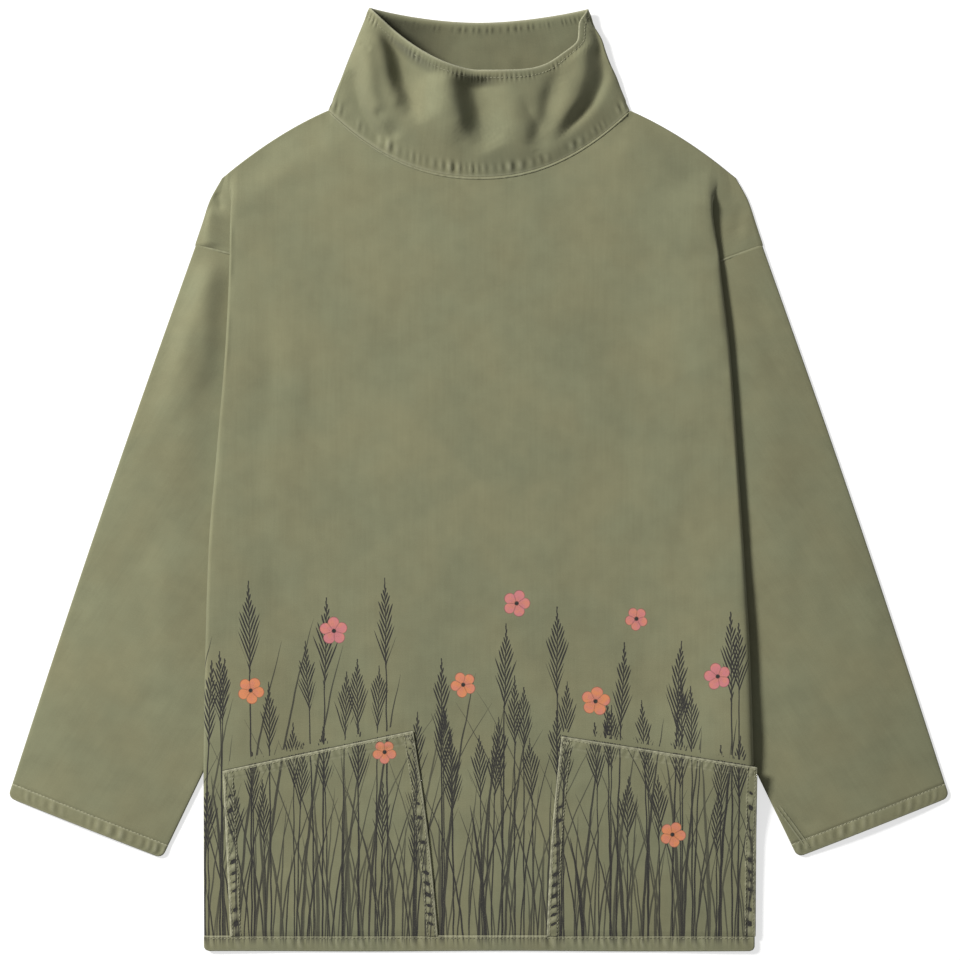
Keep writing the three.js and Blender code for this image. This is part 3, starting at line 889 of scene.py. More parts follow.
@dataclass
class Back:
    """The back: a flat piece with the same outline as the front, lying on the table."""

    body: Body
    columns: int = 60
    yoke_rows: int = 12
    body_rows: int = 66
    cap_steps: int = 5

    def grid(self) -> Grid:
        """The back's cloth, with its shoulder caps, which end at the armhole seams.

        Returns:
            The grid, from the hem up and from the right cap to the left.
        """
        body = self.body
        share = (shares(self.columns) * 2 - 1)[None, :]
        yoke = shares(self.yoke_rows)[:, None]
        down = rimmed(self.body_rows, 620)[1:, None]
        cap_share = shares(self.cap_steps)[1:][None, :]
        seam = mix(body.seam_y[0], body.seam_y[1], (share + 1) / 2)
        at_seams = [body.edge(side, np.array([float(body.seam(side))])) for side in Side]
        inner = np.where(share < 0, *at_seams)
        inner = mix(body.cap_x[0] - 12, inner, smooth(yoke, 0, 1))
        x = share * inner
        top = np.where(
            np.abs(x) < body.neck_half, body.neck_seam(x, body.back_neck_dip), body.upper_edge(np.abs(x))
        ) - EDGE_GAP / 2
        upper = np.stack([x, mix(top, seam, yoke)], -1)
        y = mix(seam, body.hem_y, down)
        reach = body.reach(share, y) - 1
        lower = np.stack([share * (reach - body.rounding(y - body.hem_y)), y], -1)
        middle = np.concatenate([upper, lower])
        caps = {}
        for side in Side:
            start = upper[:, side.last]
            edge_x, edge_y = body.cap(yoke[:, 0])
            cap = np.stack(
                [
                    mix(start[:, :1], side.value * edge_x[:, None], cap_share),
                    mix(start[:, 1:], edge_y[:, None], cap_share),
                ],
                -1,
            )
            caps[side] = np.concatenate([cap, np.full((len(lower), self.cap_steps, 2), np.nan)])
        flat = with_sides(middle, caps)[::-1]
        height = np.where(np.isnan(flat[..., :1]), np.nan, BACK_MID)
        return Grid(np.concatenate([flat, height], -1), flat)


@dataclass
class Sleeve:
    """A sleeve: a flattened tube from the armhole seam to the cuff.

    Attributes:
        underarm: where the underarm seam starts, as distance from the centre and height.
        loft, loft_band: how far air lifts the upper layer, and how far out that is reached.
        lift_start, lift_end: from where to where the lower layer comes down off the back.
        seam_insets: how far in the underarm seam's two edges lie, as shares of the width.
        CUFFS: the cuffs' outer and inner corners, as distance from the centre and height.
    """

    body: Body
    side: Side
    underarm: tuple[float, float] = (60, 130)
    bow: float = 2.7
    length: float = 530.0
    corner: float = 5.5
    loft: float = 3.2
    lift_start: float = 8
    lift_end: float = 55
    loft_band: float = 45
    rows: int = 150
    steps: int = 58
    cuff_steps: int = 130
    hem_depth: float = 12.6
    seam_insets: tuple[float, float] = (0.0, 0.022)

    CUFFS = {
        Side.RIGHT: ((428.3, -288.0), (288.0, -343.5)),
        Side.LEFT: ((427.7, -288.0), (289.4, -342.6)),
    }
    CREASES = {
        Side.RIGHT: (
            Crease(((-246, 216), (-252, 160), (-262, 90), (-278, 10)), -6.2, 17, 32, 0.05, 0.5),
            Crease(((-252, 205), (-266, 120), (-284, 20), (-296, -70)), -2.0, 24, 30, 0.08, 0.4),
            Crease(((-262, 170), (-256, 130), (-262, 80)), 1.1, 7, 9),
            Crease(((-240, 110), (-266, 60), (-300, 20)), 0.9, 12, 9),
            Crease(((-262, -20), (-300, -60), (-336, -110)), 0.8, 16, 12),
            Crease(((-330, -60), (-352, -140), (-378, -210)), -0.7, 18, 18),
            Crease(((-262, -190), (-300, -200), (-340, -230)), 0.7, 12, 10),
        ),
        Side.LEFT: (
            Crease(((246, 190), (262, 130), (276, 60)), 0.9, 12, 9),
            Crease(((262, 60), (296, 10), (326, -60)), 0.8, 16, 12),
            Crease(((280, -60), (318, -100), (356, -150)), 0.9, 14, 10),
            Crease(((320, 20), (352, -80), (380, -180)), -0.8, 18, 16),
            Crease(((268, -200), (310, -210), (350, -240)), 0.8, 13, 10),
            Crease(((276, -296), (290, -312), (304, -330)), 1.3, 4, 6, 0.4, 0.2),
            Crease(((282, -306), (296, -312), (312, -312)), 1.1, 4, 4, 0.3, 0.3),
        ),
    }

    @staticmethod
    def base_height(body: Body, side: Side, x: np.ndarray, y: np.ndarray) -> np.ndarray:
        """Height of the lower layer: on the back beside the body, and on the table beyond."""
        beyond = np.abs(x) - body.edge(side, y)
        return BACK_MID + LAYER * (1 - smooth(beyond, Sleeve.lift_start, Sleeve.lift_end))

    @staticmethod
    def top_height(body: Body, side: Side, x: np.ndarray, y: np.ndarray, across: np.ndarray) -> np.ndarray:
        """Height of the upper layer, which air lifts most along its middle, by a parabola.

        Args:
            body: the body's lines.
            side: which side.
            x: the places from side to side.
            y: the places along the cloth.
            across: each place's share of the way to the underarm.

        Returns:
            The height at each.
        """
        beyond = np.abs(x) - body.edge(side, y)
        loft = Sleeve.loft * 4 * across * (1 - across) * smooth(beyond, 0, Sleeve.loft_band)
        return Sleeve.base_height(body, side, x, y) + 2 * FOLD_RADIUS + loft

    def place(self, across: np.ndarray, along: np.ndarray) -> np.ndarray:
        """A place on the sleeve seen from above.

        Args:
            across: 0 at the outer edge to 1 at the underarm.
            along: 0 at the armhole seam to 1 at the cuff.

        Returns:
            x and y.
        """
        sign, seam_y = self.side.value, self.body.seam(self.side)
        corners = np.array(
            [
                [self.body.cap_x[-1], self.body.cap_y[-1]],
                [self.body.edge(self.side, np.array([seam_y]))[0], seam_y],
                self.underarm,
            ]
        ) * [sign, 1] - [0, EDGE_GAP]
        lengths = np.linalg.norm(np.diff(corners, axis=0), axis=1)
        bend = [0, lengths[0] / lengths.sum(), 1]
        seam = np.stack([np.interp(across, bend, corners[:, k]) for k in (0, 1)], -1)
        outer, inner = np.array(self.CUFFS[self.side]) * [sign, 1]
        cuff = mix(outer, inner, across[..., None])
        straight = mix(seam, cuff, along[..., None])
        bow = sign * self.bow * np.sin(math.pi * along) * (1 - across)
        return straight + np.stack([bow, np.zeros_like(bow)], -1)

    def relief(self, x: np.ndarray, y: np.ndarray) -> np.ndarray:
        """The upper layer's creases and waves.

        Args:
            x: the places from side to side.
            y: the places along the cloth.

        Returns:
            The lift at each.
        """
        lift = Waves(0.35, 120, 1.1 + self.side.value).at(x, y)
        for crease in self.CREASES[self.side]:
            lift = lift - crease.press(x, y)
        return lift

    def upper(self, across: np.ndarray, along: np.ndarray) -> np.ndarray:
        """Points through the middle of the upper layer.

        Args:
            across: 0 at the outer edge to 1 at the underarm.
            along: 0 at the armhole seam to 1 at the cuff.

        Returns:
            x, y and z.
        """
        flat = self.place(across, along)
        x, y = flat[..., 0], flat[..., 1]
        calm = smooth(np.minimum(across, 1 - across), 0, 0.12) * smooth(along, 0, 0.05)
        calm = calm * (0.35 + 0.65 * (1 - smooth(along, 0.9, 1)))
        z = self.top_height(self.body, self.side, x, y, across) + self.relief(x, y) * calm
        return np.stack([x, y, z], -1)

    def lower(self, across: np.ndarray, along: np.ndarray) -> np.ndarray:
        """Points through the middle of the lower layer."""
        flat = self.place(across, along)
        height = self.base_height(self.body, self.side, flat[..., 0], flat[..., 1])
        return np.concatenate([flat, height[..., None]], -1)

    def tube(self, along: np.ndarray, steps: int, folds: int = 5) -> tuple[np.ndarray, np.ndarray]:
        """Rings around the sleeve: the lower layer, the underarm's fold, the upper layer, the outer fold.

        Args:
            along: where each ring lies.
            steps: steps across each layer.
            folds: steps around each fold.

        Returns:
            The points, rings by columns by 3, and the flat pattern.
        """
        ends = self.place(np.array([0.0, 1.0]), along[:, None])
        width = np.linalg.norm(ends[:, 1] - ends[:, 0], axis=-1)[:, None]
        inward = (ends[:, 1] - ends[:, 0]) / width
        rounding = corner_inset((1 - along) * self.length, self.corner)
        inset = (FOLD_RADIUS + CLOTH / 2 + rounding[:, None]) / width
        across = mix(inset, 1 - inset, shares(steps)[None, :])
        along_grid = np.broadcast_to(along[:, None], across.shape)
        low, high = self.lower(across, along_grid), self.upper(across, along_grid)

        def fold(below: np.ndarray, above: np.ndarray, way: float) -> np.ndarray:
            """A half circle from one layer up to the other.

            Args:
                below: where it leaves the lower layer, one place for each ring.
                above: where it meets the upper.
                way: 1 at the underarm, and -1 at the outer fold.

            Returns:
                The points between the two, rings by steps by 3.
            """
            angle = math.pi * (shares(folds)[1:-1] - 0.5)
            middle, half = (below + above) / 2, (above[:, 2] - below[:, 2]) / 2
            points = np.repeat(middle[:, None], len(angle), 1)
            points[..., :2] += way * FOLD_RADIUS * np.cos(angle)[None, :, None] * inward[:, None]
            points[..., 2] += half[:, None] * np.sin(angle)[None, :]
            return points

        underarm = fold(low[:, -1], high[:, -1], 1)
        outer = fold(low[:, 0], high[:, 0], -1)
        ring = np.concatenate([low, underarm, high[:, ::-1], outer[:, ::-1]], 1)
        around = run_around(ring)
        length = np.broadcast_to(along[:, None] * self.length, around.shape)
        return ring, np.stack([around, length], -1)

    def grids(self) -> list[Grid]:
        """The sleeve above its cuff's stitching, and the turned cuff.

        Returns:
            The two grids.
        """
        stitch = 1 - self.hem_depth / self.length
        along = np.concatenate([[0, 0.002], shares(self.rows)[1:] * stitch])
        points, pattern = self.tube(along, self.steps)
        sleeve = Grid(points, pattern, around=True)
        across = np.concatenate([[0, 0.05], shares(10)[1:-1], [0.97, 1]])
        points, pattern = self.tube(mix(stitch, 1.0, across), self.cuff_steps)
        across = across[:, None]
        run = pattern[-1:, :, 0]
        bell = np.sin(math.pi * across)
        wave = Puckers(1, 8.2, 0.25).at(run, across * self.hem_depth)
        swell = 0.35 * bell**0.7 + 0.5 * wave * bell
        raised = (points[..., 2] > points[:, :1, 2] + 0.4).astype(float)
        points[..., 2] += raised * swell
        edges = 0.8 * (1 - smooth(across, 0.0, 0.13)) + 0.3 * smooth(across, 0.9, 1)
        # Paler on the puckers' crests where the cloth has worn, and darker in their troughs: painted shade.
        marks = marked(edges + 0.3 * wave * bell)
        return [sleeve, Grid(points, pattern, marks, around=True, thickness=CLOTH + 0.1)]

    def cuff_row(self) -> np.ndarray:
        """The path of the cuff's stitching on its upper layer."""
        across = np.linspace(0.02, 0.98, 120)
        along = np.full(across.shape, 1 - self.hem_depth / self.length)
        return self.upper(across, along) + [0, 0, CLOTH / 2 + 0.1]

    def underarm_seam(self, inset: float) -> np.ndarray:
        """The path of an edge of the underarm seam, which turns up onto the upper layer by the cuff."""
        t = shares(40)
        points = self.upper(mix(0.985, 0.925, t) - inset, mix(0.905, 0.994, t))
        return points + [0, 0, CLOTH / 2 + 0.1]


COLLAR_CREASES = (
    Crease(((-83, 430), (-76, 402), (-71, 382), (-66, 360), (-58, 341), (-50, 322)), 38.0, 24, 9, 0.05, 0.5),
    Crease(((-104, 404), (-101, 380), (-98, 354), (-90, 330), (-78, 312)), -4.0, 9, 8, 0.15, 0.2),
    Crease(((-94, 339), (-89, 327), (-78, 316), (-73, 308)), 2.8, 6, 5, 0.25, 0.35, 1.5),
    Crease(
        ((-117, 374), (-112, 356), (-109, 341), (-102, 326), (-92, 312), (-85, 303)),
        8.0, 5, 9, 0.2, 0.25, 1.5,
    ),
    Crease(((-126, 343), (-117, 334), (-108, 324)), 2.4, 5, 5, 0.3, 0.3),
    Crease(((-109, 396), (-103, 393), (-98, 387)), 1.3, 2.5, 2.5, 0.3, 0.3),
    Crease(((-76, 345), (-66, 338), (-58, 328)), 2.2, 5, 7, 0.4, 0.4),
    Crease(((-11, 384), (-5, 360), (0, 338), (7, 315), (15, 298)), 26.0, 18, 12.5, 0.05, 0.5),
    Crease(((-38, 372), (-33, 350), (-24, 328), (-10, 308)), -4.0, 15, 18, 0.2, 0.3),
    Crease(((36, 350), (45, 334), (53, 321), (60, 312)), 3.0, 6, 8, 0.35, 0.4, 1.6),
    Crease(((79, 376), (66, 352), (62, 332), (52, 310), (44, 298)), 4.8, 12, 8, 0.3, 0.3),
    Crease(((92, 404), (94, 376), (88, 350), (72, 326), (54, 306)), -4.0, 8, 15, 0.2, 0.3),
    Crease(
        ((104, 412), (112, 390), (113, 370), (105, 347), (88, 326), (64, 302)),
        7.5, 4, 6.5, 0.12, 0.3, 1.6,
    ),
)


@dataclass
class Collar:
    """The collar: a tube around the neck whose back lies on the table while its front stands up.

    Attributes:
        rim_curve, back_rim_curve: the powers of the rim's curves, in front for right and left.
        rim_side: height of the rim at its right and left side folds.
        back_curve: the power by which the back comes down to the table.
        clearance: the least height of the front's middle over the back's.
        SIDE_CURVE: twice the power by which the height falls off to the side folds.
        NICKS: where the left fold's outline goes out or in, how wide, and how far.
    """

    body: Body
    rim_half: float = 98.7
    rim_y: float = 427
    front_rim_dip: float = 57
    back_rim_dip: float = 11.5
    rim_curve: tuple[float, float] = (1.8, 4.6)
    back_rim_curve: float = 1.8
    rim_rise: float = 16.5
    rim_side: tuple[float, float] = (19, 8)
    bulge: float = 4
    back_curve: float = 1.3
    clearance: float = 2.2
    hem_depth: float = 6.4
    height: float = 95.0
    front_steps: int = 250
    back_steps: int = 130
    rows: int = 64

    SIDE_CURVE = 0.9
    NICKS = ((396, 9, 5.0), (416, 7, -2.4))

    @staticmethod
    def towards_side(share: np.ndarray) -> np.ndarray:
        """How much of the collar's full rise is left at a share of its half width."""
        return np.maximum(1 - np.asarray(share) ** 2, 0) ** (Collar.SIDE_CURVE / 2)

    def half(self, level: np.ndarray) -> np.ndarray:
        """Half the collar's width at a level, 0 at the neck seam to 1 at the rim."""
        return mix(self.body.neck_half, self.rim_half, level)

    def side_height(self, x: np.ndarray, level: np.ndarray) -> np.ndarray:
        """Height of the side folds, which blends from one side to the other."""
        return mix(ON_BACK, mix(*self.rim_side, smooth(x / self.half(level), -1, 1)), level)

    def low(self, angle: np.ndarray, x: np.ndarray, level: np.ndarray) -> np.ndarray:
        """Height of the back half, which comes down to the table from the side folds."""
        down = np.maximum(np.cos(angle), 0) ** self.back_curve
        return mix(self.side_height(x, level), BACK_MID, down)

    def front(self, angle: np.ndarray, level: np.ndarray) -> np.ndarray:
        """Points through the middle of the front half.

        x follows the sine of the angle, y hangs below the sides by a power curve, and z rises to the
        middle. The creases press it in, as far as the back half below leaves room.

        Args:
            angle: the way around, from minus a quarter turn at the right fold to a quarter at the left.
            level: 0 at the neck seam to 1 at the rim.

        Returns:
            x, y and z.
        """
        body, half = self.body, self.half(level)
        x = half * np.sin(angle)
        curve = mix(body.neck_curve, np.where(x < 0, *self.rim_curve), level)
        side_y = mix(body.shoulder_y + EDGE_GAP / 2, self.rim_y, level)
        share = np.minimum(np.abs(x / half), 1)
        y = side_y - mix(body.front_neck_dip, self.front_rim_dip, level) * (1 - share**curve)
        rise = mix(body.neck_lift, self.rim_rise, level) + self.bulge * np.sin(math.pi * level)
        height = rise * self.towards_side(share)
        z = self.side_height(x, level) + height
        room = np.maximum(z - self.low(angle, x, level) - self.clearance, 0)
        pressed = sum(crease.press(x, y) for crease in COLLAR_CREASES) * smooth(level, 0, 0.1)
        pressed = pressed * (1 - 0.85 * smooth(level, 0.84, 0.97))
        edge = smooth(np.cos(angle), 0, 0.3)
        filled = room * (1 - np.exp(-pressed / np.maximum(room, 0.1)))
        pressed = np.where(pressed > 0, filled, pressed * edge)
        at_turn = smooth(x, 58, 84) * smooth(level, 0.5, 1)
        x = x + at_turn * sum(out * peak(y, middle, width) for middle, width, out in self.NICKS)
        return np.stack([x, y, z - pressed], -1)

    def back(self, angle: np.ndarray, level: np.ndarray) -> np.ndarray:
        """Points through the middle of the back half.

        Args:
            angle: the way around, from a quarter turn at the left fold to minus a quarter at the right.
            level: 0 at the neck seam to 1 at the rim.

        Returns:
            x, y and z.
        """
        body, half = self.body, self.half(level)
        x = half * np.sin(angle)
        share = np.minimum(np.abs(x / half), 1)
        side_y = mix(body.shoulder_y + EDGE_GAP / 2, self.rim_y, level)
        curve = mix(body.neck_curve, self.back_rim_curve, level)
        y = side_y - mix(body.back_neck_dip, self.back_rim_dip, level) * (1 - share**curve)
        return np.stack([x, y, self.low(angle, x, level)], -1)

    def grid(self) -> Grid:
        """The whole collar, with its turned rim and the puckers at both its seams.

        Returns:
            The grid, from the neck seam up.
        """
        turn = math.pi * (shares(self.front_steps) - 0.5)
        back_turn = math.pi * (0.5 - shares(self.back_steps)[1:-1])
        level = np.concatenate([[0, 0.006], shares(self.rows)[1:-1], [0.993, 1]])[:, None]
        ring = np.concatenate([self.front(turn[None], level), self.back(back_turn[None], level)], 1)
        middle = run_around(ring)[self.rows // 2][None, :]
        below_rim, above_seam = (1 - level) * self.height, level * self.height
        rim_band, seam_band = peak(below_rim, self.hem_depth, 3.0), peak(above_seam, 7, 4.4)
        rim_wave = Puckers(1, 4.7).at(middle, 0 * below_rim)
        seam_wave = Puckers(1, 7.2, 0.15).at(middle + 3, above_seam)
        lift = 0.55 * rim_wave * rim_band + 0.85 * seam_wave * seam_band
        lift = lift + 0.3 * (below_rim < self.hem_depth) - 0.25 * peak(below_rim, self.hem_depth, 0.9)
        lift = lift + Waves(0.4, 40, 0.4).at(middle, above_seam + 0 * middle) * np.sin(math.pi * level)
        normal = unit(np.cross(np.gradient(ring, axis=1), np.gradient(ring, axis=0)))
        front = np.arange(ring.shape[1]) <= self.front_steps
        strength = np.where(front, 1.0, 0.85)[None, :]
        ring = ring + normal * (lift * strength)[..., None]
        ring[..., 2] = np.maximum(ring[..., 2], BACK_MID)
        worn = 0.6 * peak(below_rim, 0, 1.3) + 0.4 * peak(above_seam, 0, 1.6)
        # Painted shade: darker dashes in the troughs of the rim's puckers; their crests are paler where worn.
        trough_shade = np.clip(-1.6 * rim_wave, 0, 1) * rim_band
        worn = worn + 0.3 * np.clip(rim_wave, 0, 1) * rim_band - 0.6 * trough_shade
        # Paler on the seam's pucker crests where worn, and darker in their troughs: painted shade.
        worn = worn + 0.3 * seam_wave * seam_band
        # Painted shade: the back half's inside is darkened all over, and more towards the fold at -X, where
        # the standing front shades it; it stops just short of the rim's edge.
        inside = np.where(front[None, :], 0, 0.42 + 0.56 * smooth(-ring[..., 0], 16, 62))
        worn = worn - inside * smooth(below_rim, 1, 6)
        pattern = np.stack(np.broadcast_arrays(middle, above_seam), -1)
        return Grid(ring, pattern, marked(worn), around=True)

    def row(self) -> np.ndarray:
        """The path of the rim's stitching around the front half, up to near its side folds."""
        turn = math.pi / 2 * 0.97 * (shares(160) * 2 - 1)
        level = np.full(turn.shape, 1 - self.hem_depth / self.height)
        return self.front(turn, level) + [0, 0, CLOTH / 2 + 0.1]


@dataclass
class Pocket:
    """A patch pocket, made from the points of the front under it, moved out.

    Attributes:
        gap: between its cloth and the front's.
        margin, edge_row: how far in the two rows of stitches lie.
        edge_lift: how much thicker its turned edges are.
        sink: how far its bottom edge is pressed down.
        bow: how far its inner side bows.
        CORNERS: the mouth's inner and outer corner, and the bottom's outer and inner.
    """

    front: Front
    side: Side
    columns: int = 126
    rows: int = 116
    gap: float = 0.45
    loft: float = 0.8
    mouth_loft: float = 1.6
    margin: float = 8.5
    edge_row: float = 1.8
    edge_lift: float = 0.42
    sink: float = 0.8
    bow: float = 2.2
    width: float = 182.0
    height: float = 165.0

    CORNERS = {
        Side.RIGHT: ((-60.1, -228.4), (-232.0, -264.4), (-225.4, -414.4), (-37.8, -414.4)),
        Side.LEFT: ((75.5, -233.4), (251.6, -260.7), (250.8, -414.4), (62.2, -414.4)),
    }

    def place(self, out: np.ndarray, down: np.ndarray) -> np.ndarray:
        """A place on the pocket.

        Args:
            out: 0 at the inner side to 1 at the outer.
            down: 0 at the mouth to 1 at the bottom.

        Returns:
            x and y.
        """
        inner_top, outer_top, outer_low, inner_low = (np.array(corner) for corner in self.CORNERS[self.side])
        upper = mix(inner_top, outer_top, out[..., None])
        lower = mix(inner_low, outer_low, out[..., None])
        flat = mix(upper, lower, down[..., None])
        bow = -self.side.value * self.bow * np.sin(math.pi * down) * (1 - out)
        return flat + np.stack([bow, 0 * bow], -1)

    def surface(self, out: np.ndarray, down: np.ndarray, lift: float = 0.0) -> np.ndarray:
        """Points through the middle of the pocket's cloth, which air lifts most under the mouth.

        Args:
            out: 0 at the inner side to 1 at the outer.
            down: 0 at the mouth to 1 at the bottom.
            lift: how far above the cloth's middle the points lie.

        Returns:
            x, y and z.
        """
        flat = self.place(out, down)
        x, y = flat[..., 0], flat[..., 1]
        loft = np.sin(math.pi * out) * (
            self.loft * np.sin(math.pi * np.clip(down, 0, 1)) + self.mouth_loft * np.clip(1 - down, 0, 1) ** 6
        )
        above = CLOTH + self.gap - self.sink * smooth(down, 0.97, 1)
        z = self.front.surface(x, y) + above + loft + lift
        return np.stack([x, y, z], -1)

    def grid(self) -> Grid:
        """The pocket with its turned edges: a raised margin that its rows of stitches pucker.

        Returns:
            The grid, from the bottom up and from right to left.
        """
        out, down = np.broadcast_arrays(rimmed(self.columns, 180)[None, :], rimmed(self.rows, 160)[:, None])
        points = self.surface(out, down)
        inner, outer, mouth = out * self.width, (1 - out) * self.width, down * self.height
        lift, worn, inked = np.zeros((3, *out.shape))
        sides = (
            (inner, mouth, 0.6, 1.0, 9.0),
            (outer, mouth + 31, 0.5, 0.75, 10.5),
            (mouth, inner, 0.3, 0.0, 6.4),
        )
        for distance, run, size, catch, length in sides:
            band = 1 - smooth(distance, self.margin - 1, self.margin + 2.5)
            waves = Puckers(1, length, 0.4).at(run, distance)
            ridge = peak(distance, 5.0, 2.8)
            lift = np.maximum(lift, self.edge_lift * band) + size * waves * ridge
            lift = lift - 0.3 * peak(distance, self.margin, 1.0) * (1 - 0.4 * waves)
            edge = peak(distance, 0, 1.5) * (0.65 + 0.35 * np.clip(waves + 0.5, 0, 1))
            row = 0.45 * peak(distance, self.margin, 0.9) * (0.5 + 0.5 * waves)
            crests = 0.45 * np.clip(waves, 0, 1) * ridge
            # Darker in the troughs of the puckers on the raised margin: painted shade; the crests are paler
            # where worn.
            worn = np.maximum.reduce([worn, edge, row, crests]) - 0.35 * np.clip(-waves, 0, 1) * ridge
            inked = np.maximum(inked, catch * np.clip(-1.6 * waves - 0.1, 0, 1) * ridge)
        points[..., 2] += lift
        flat, marks = points[..., :2].copy(), marked(worn, inked)
        if self.side is Side.RIGHT:
            points, flat, marks = points[:, ::-1], flat[:, ::-1], marks[:, ::-1]
        return Grid(points[::-1], flat[::-1], marks[::-1])

    def rows_of_stitches(self) -> list[np.ndarray]:
        """Paths of the stitching: two rows along each side, and one along the mouth.

        Returns:
            The paths.
        """
        t, top = shares(90), CLOTH / 2 + self.edge_lift
        insets = [(inset / self.width, 1 - inset / self.width) for inset in (self.edge_row, self.margin)]
        paths = [self.surface(np.full(t.shape, share), t, top) for pair in insets for share in pair]
        return paths + [self.surface(t, np.full(t.shape, self.edge_row / self.height), top)]

    def bar_tack(self) -> list[np.ndarray]:
        """The short crossing stitches that hold the mouth's inner corner, as a zigzag.

        Returns:
            The paths.
        """
        paths = []
        for i in range(7):
            out = np.array([0.008, 0.016]) + 0.004 * i
            down = np.array([0.008, 0.045] if i % 2 else [0.045, 0.008])
            paths.append(self.surface(out, down, CLOTH / 2 + 0.5))
        return paths


@dataclass(frozen=True)
class Bead:
    """A narrow turned edge: a flattened round profile carried along a path on the cloth.

    Attributes:
        width: of the profile.
        height: how far its crown rises over its middle.
        sides: points around it.
    """

    width: float
    height: float
    sides: int = 10

    def along(self, path: np.ndarray, pucker: Puckers) -> Shell:
        """Carries the profile along a path: an ellipse in each place, which the puckers raise.

        Args:
            path: points along the middle of the edge's foot.
            pucker: waves of its height.

        Returns:
            A closed shell, worn along its crown.
        """
        across, up = beside(unit(np.gradient(path, axis=0)))
        run = run_along(path)
        turn = 2 * math.pi * np.arange(self.sides) / self.sides
        taper = np.minimum(smooth(run, -1, 4), smooth(run[-1] - run, -1, 4))
        rise = taper * (1 + pucker.at(run, 0 * run))
        rings = (
            path[:, None]
            + across[:, None] * (self.width / 2 * taper[:, None] * np.cos(turn))[..., None]
            + up[:, None] * (self.height * rise[:, None] * (np.sin(turn) + 0.25))[..., None]
        )
        crown = np.clip(np.sin(turn) * 1.1, 0, 1) ** 2
        patchy = 0.75 + 0.25 * np.sin(run / 3.1) * np.sin(run / 11)
        worn = 0.3 * (patchy[:, None] * crown).ravel()
        points = rings.reshape(-1, 3)
        faces = tube_faces(len(path), self.sides)
        return Shell(points, faces, points[:, :2].copy(), marked(worn))


Colour = tuple[float, float, float, float]


def colour(red: float, green: float, blue: float) -> Colour:
    """A colour in linear light."""
    return (red, green, blue, 1.0)


class Value:
    """A number, place or colour in a shader tree. Arithmetic with it adds nodes to the tree."""

    def __init__(self, sketch: Sketch, socket: bpy.types.NodeSocket) -> None:
        """Holds the socket that gives it."""
        self.sketch, self.socket = sketch, socket

    def __add__(self, other: Value | float) -> Value:
        """The sum."""
        return self.sketch.math("ADD", self, other)

    def __sub__(self, other: Value | float) -> Value:
        """The difference."""
        return self.sketch.math("SUBTRACT", self, other)

    def __rsub__(self, other: float) -> Value:
        """What is left of a plain number."""
        return self.sketch.math("SUBTRACT", other, self)

    def __mul__(self, other: Value | float) -> Value:
        """The product."""
        return self.sketch.math("MULTIPLY", self, other)

    def __truediv__(self, other: Value | float) -> Value:
        """The quotient."""
        return self.sketch.math("DIVIDE", self, other)

    def __pow__(self, power: float) -> Value:
        """The power."""
        return self.sketch.math("POWER", self, power)

    def __abs__(self) -> Value:
        """The number without its sign."""
        return self.sketch.math("ABSOLUTE", self)

    def __lt__(self, other: Value | float) -> Value:
        """1 where it is less, and 0 elsewhere."""
        return self.sketch.math("LESS_THAN", self, other)

    def __gt__(self, other: Value | float) -> Value:
        """1 where it is greater, and 0 elsewhere."""
        return self.sketch.math("GREATER_THAN", self, other)

    def at_least(self, other: Value | float) -> Value:
        """The greater of two."""
        return self.sketch.math("MAXIMUM", self, other)

    def scaled(self, factor: Value | float, offset: Value | float, clamp: bool = False) -> Value:
        """The product with a factor, plus an offset."""
        return self.sketch.math("MULTIPLY_ADD", self, factor, offset, clamp=clamp)

    def ramp(self, low: float, high: float, to_low: float = 0.0, to_high: float = 1.0) -> Value:
        """A soft step from to_low at low to to_high at high."""
        inputs = {"Value": self, "From Min": low, "From Max": high, "To Min": to_low, "To Max": to_high}
        return self.sketch.value("ShaderNodeMapRange", inputs, interpolation_type="SMOOTHSTEP")

    def fall(self, low: float, high: float) -> Value:
        """A soft step from 1 at low to 0 at high."""
        return self.ramp(low, high, 1.0, 0.0)


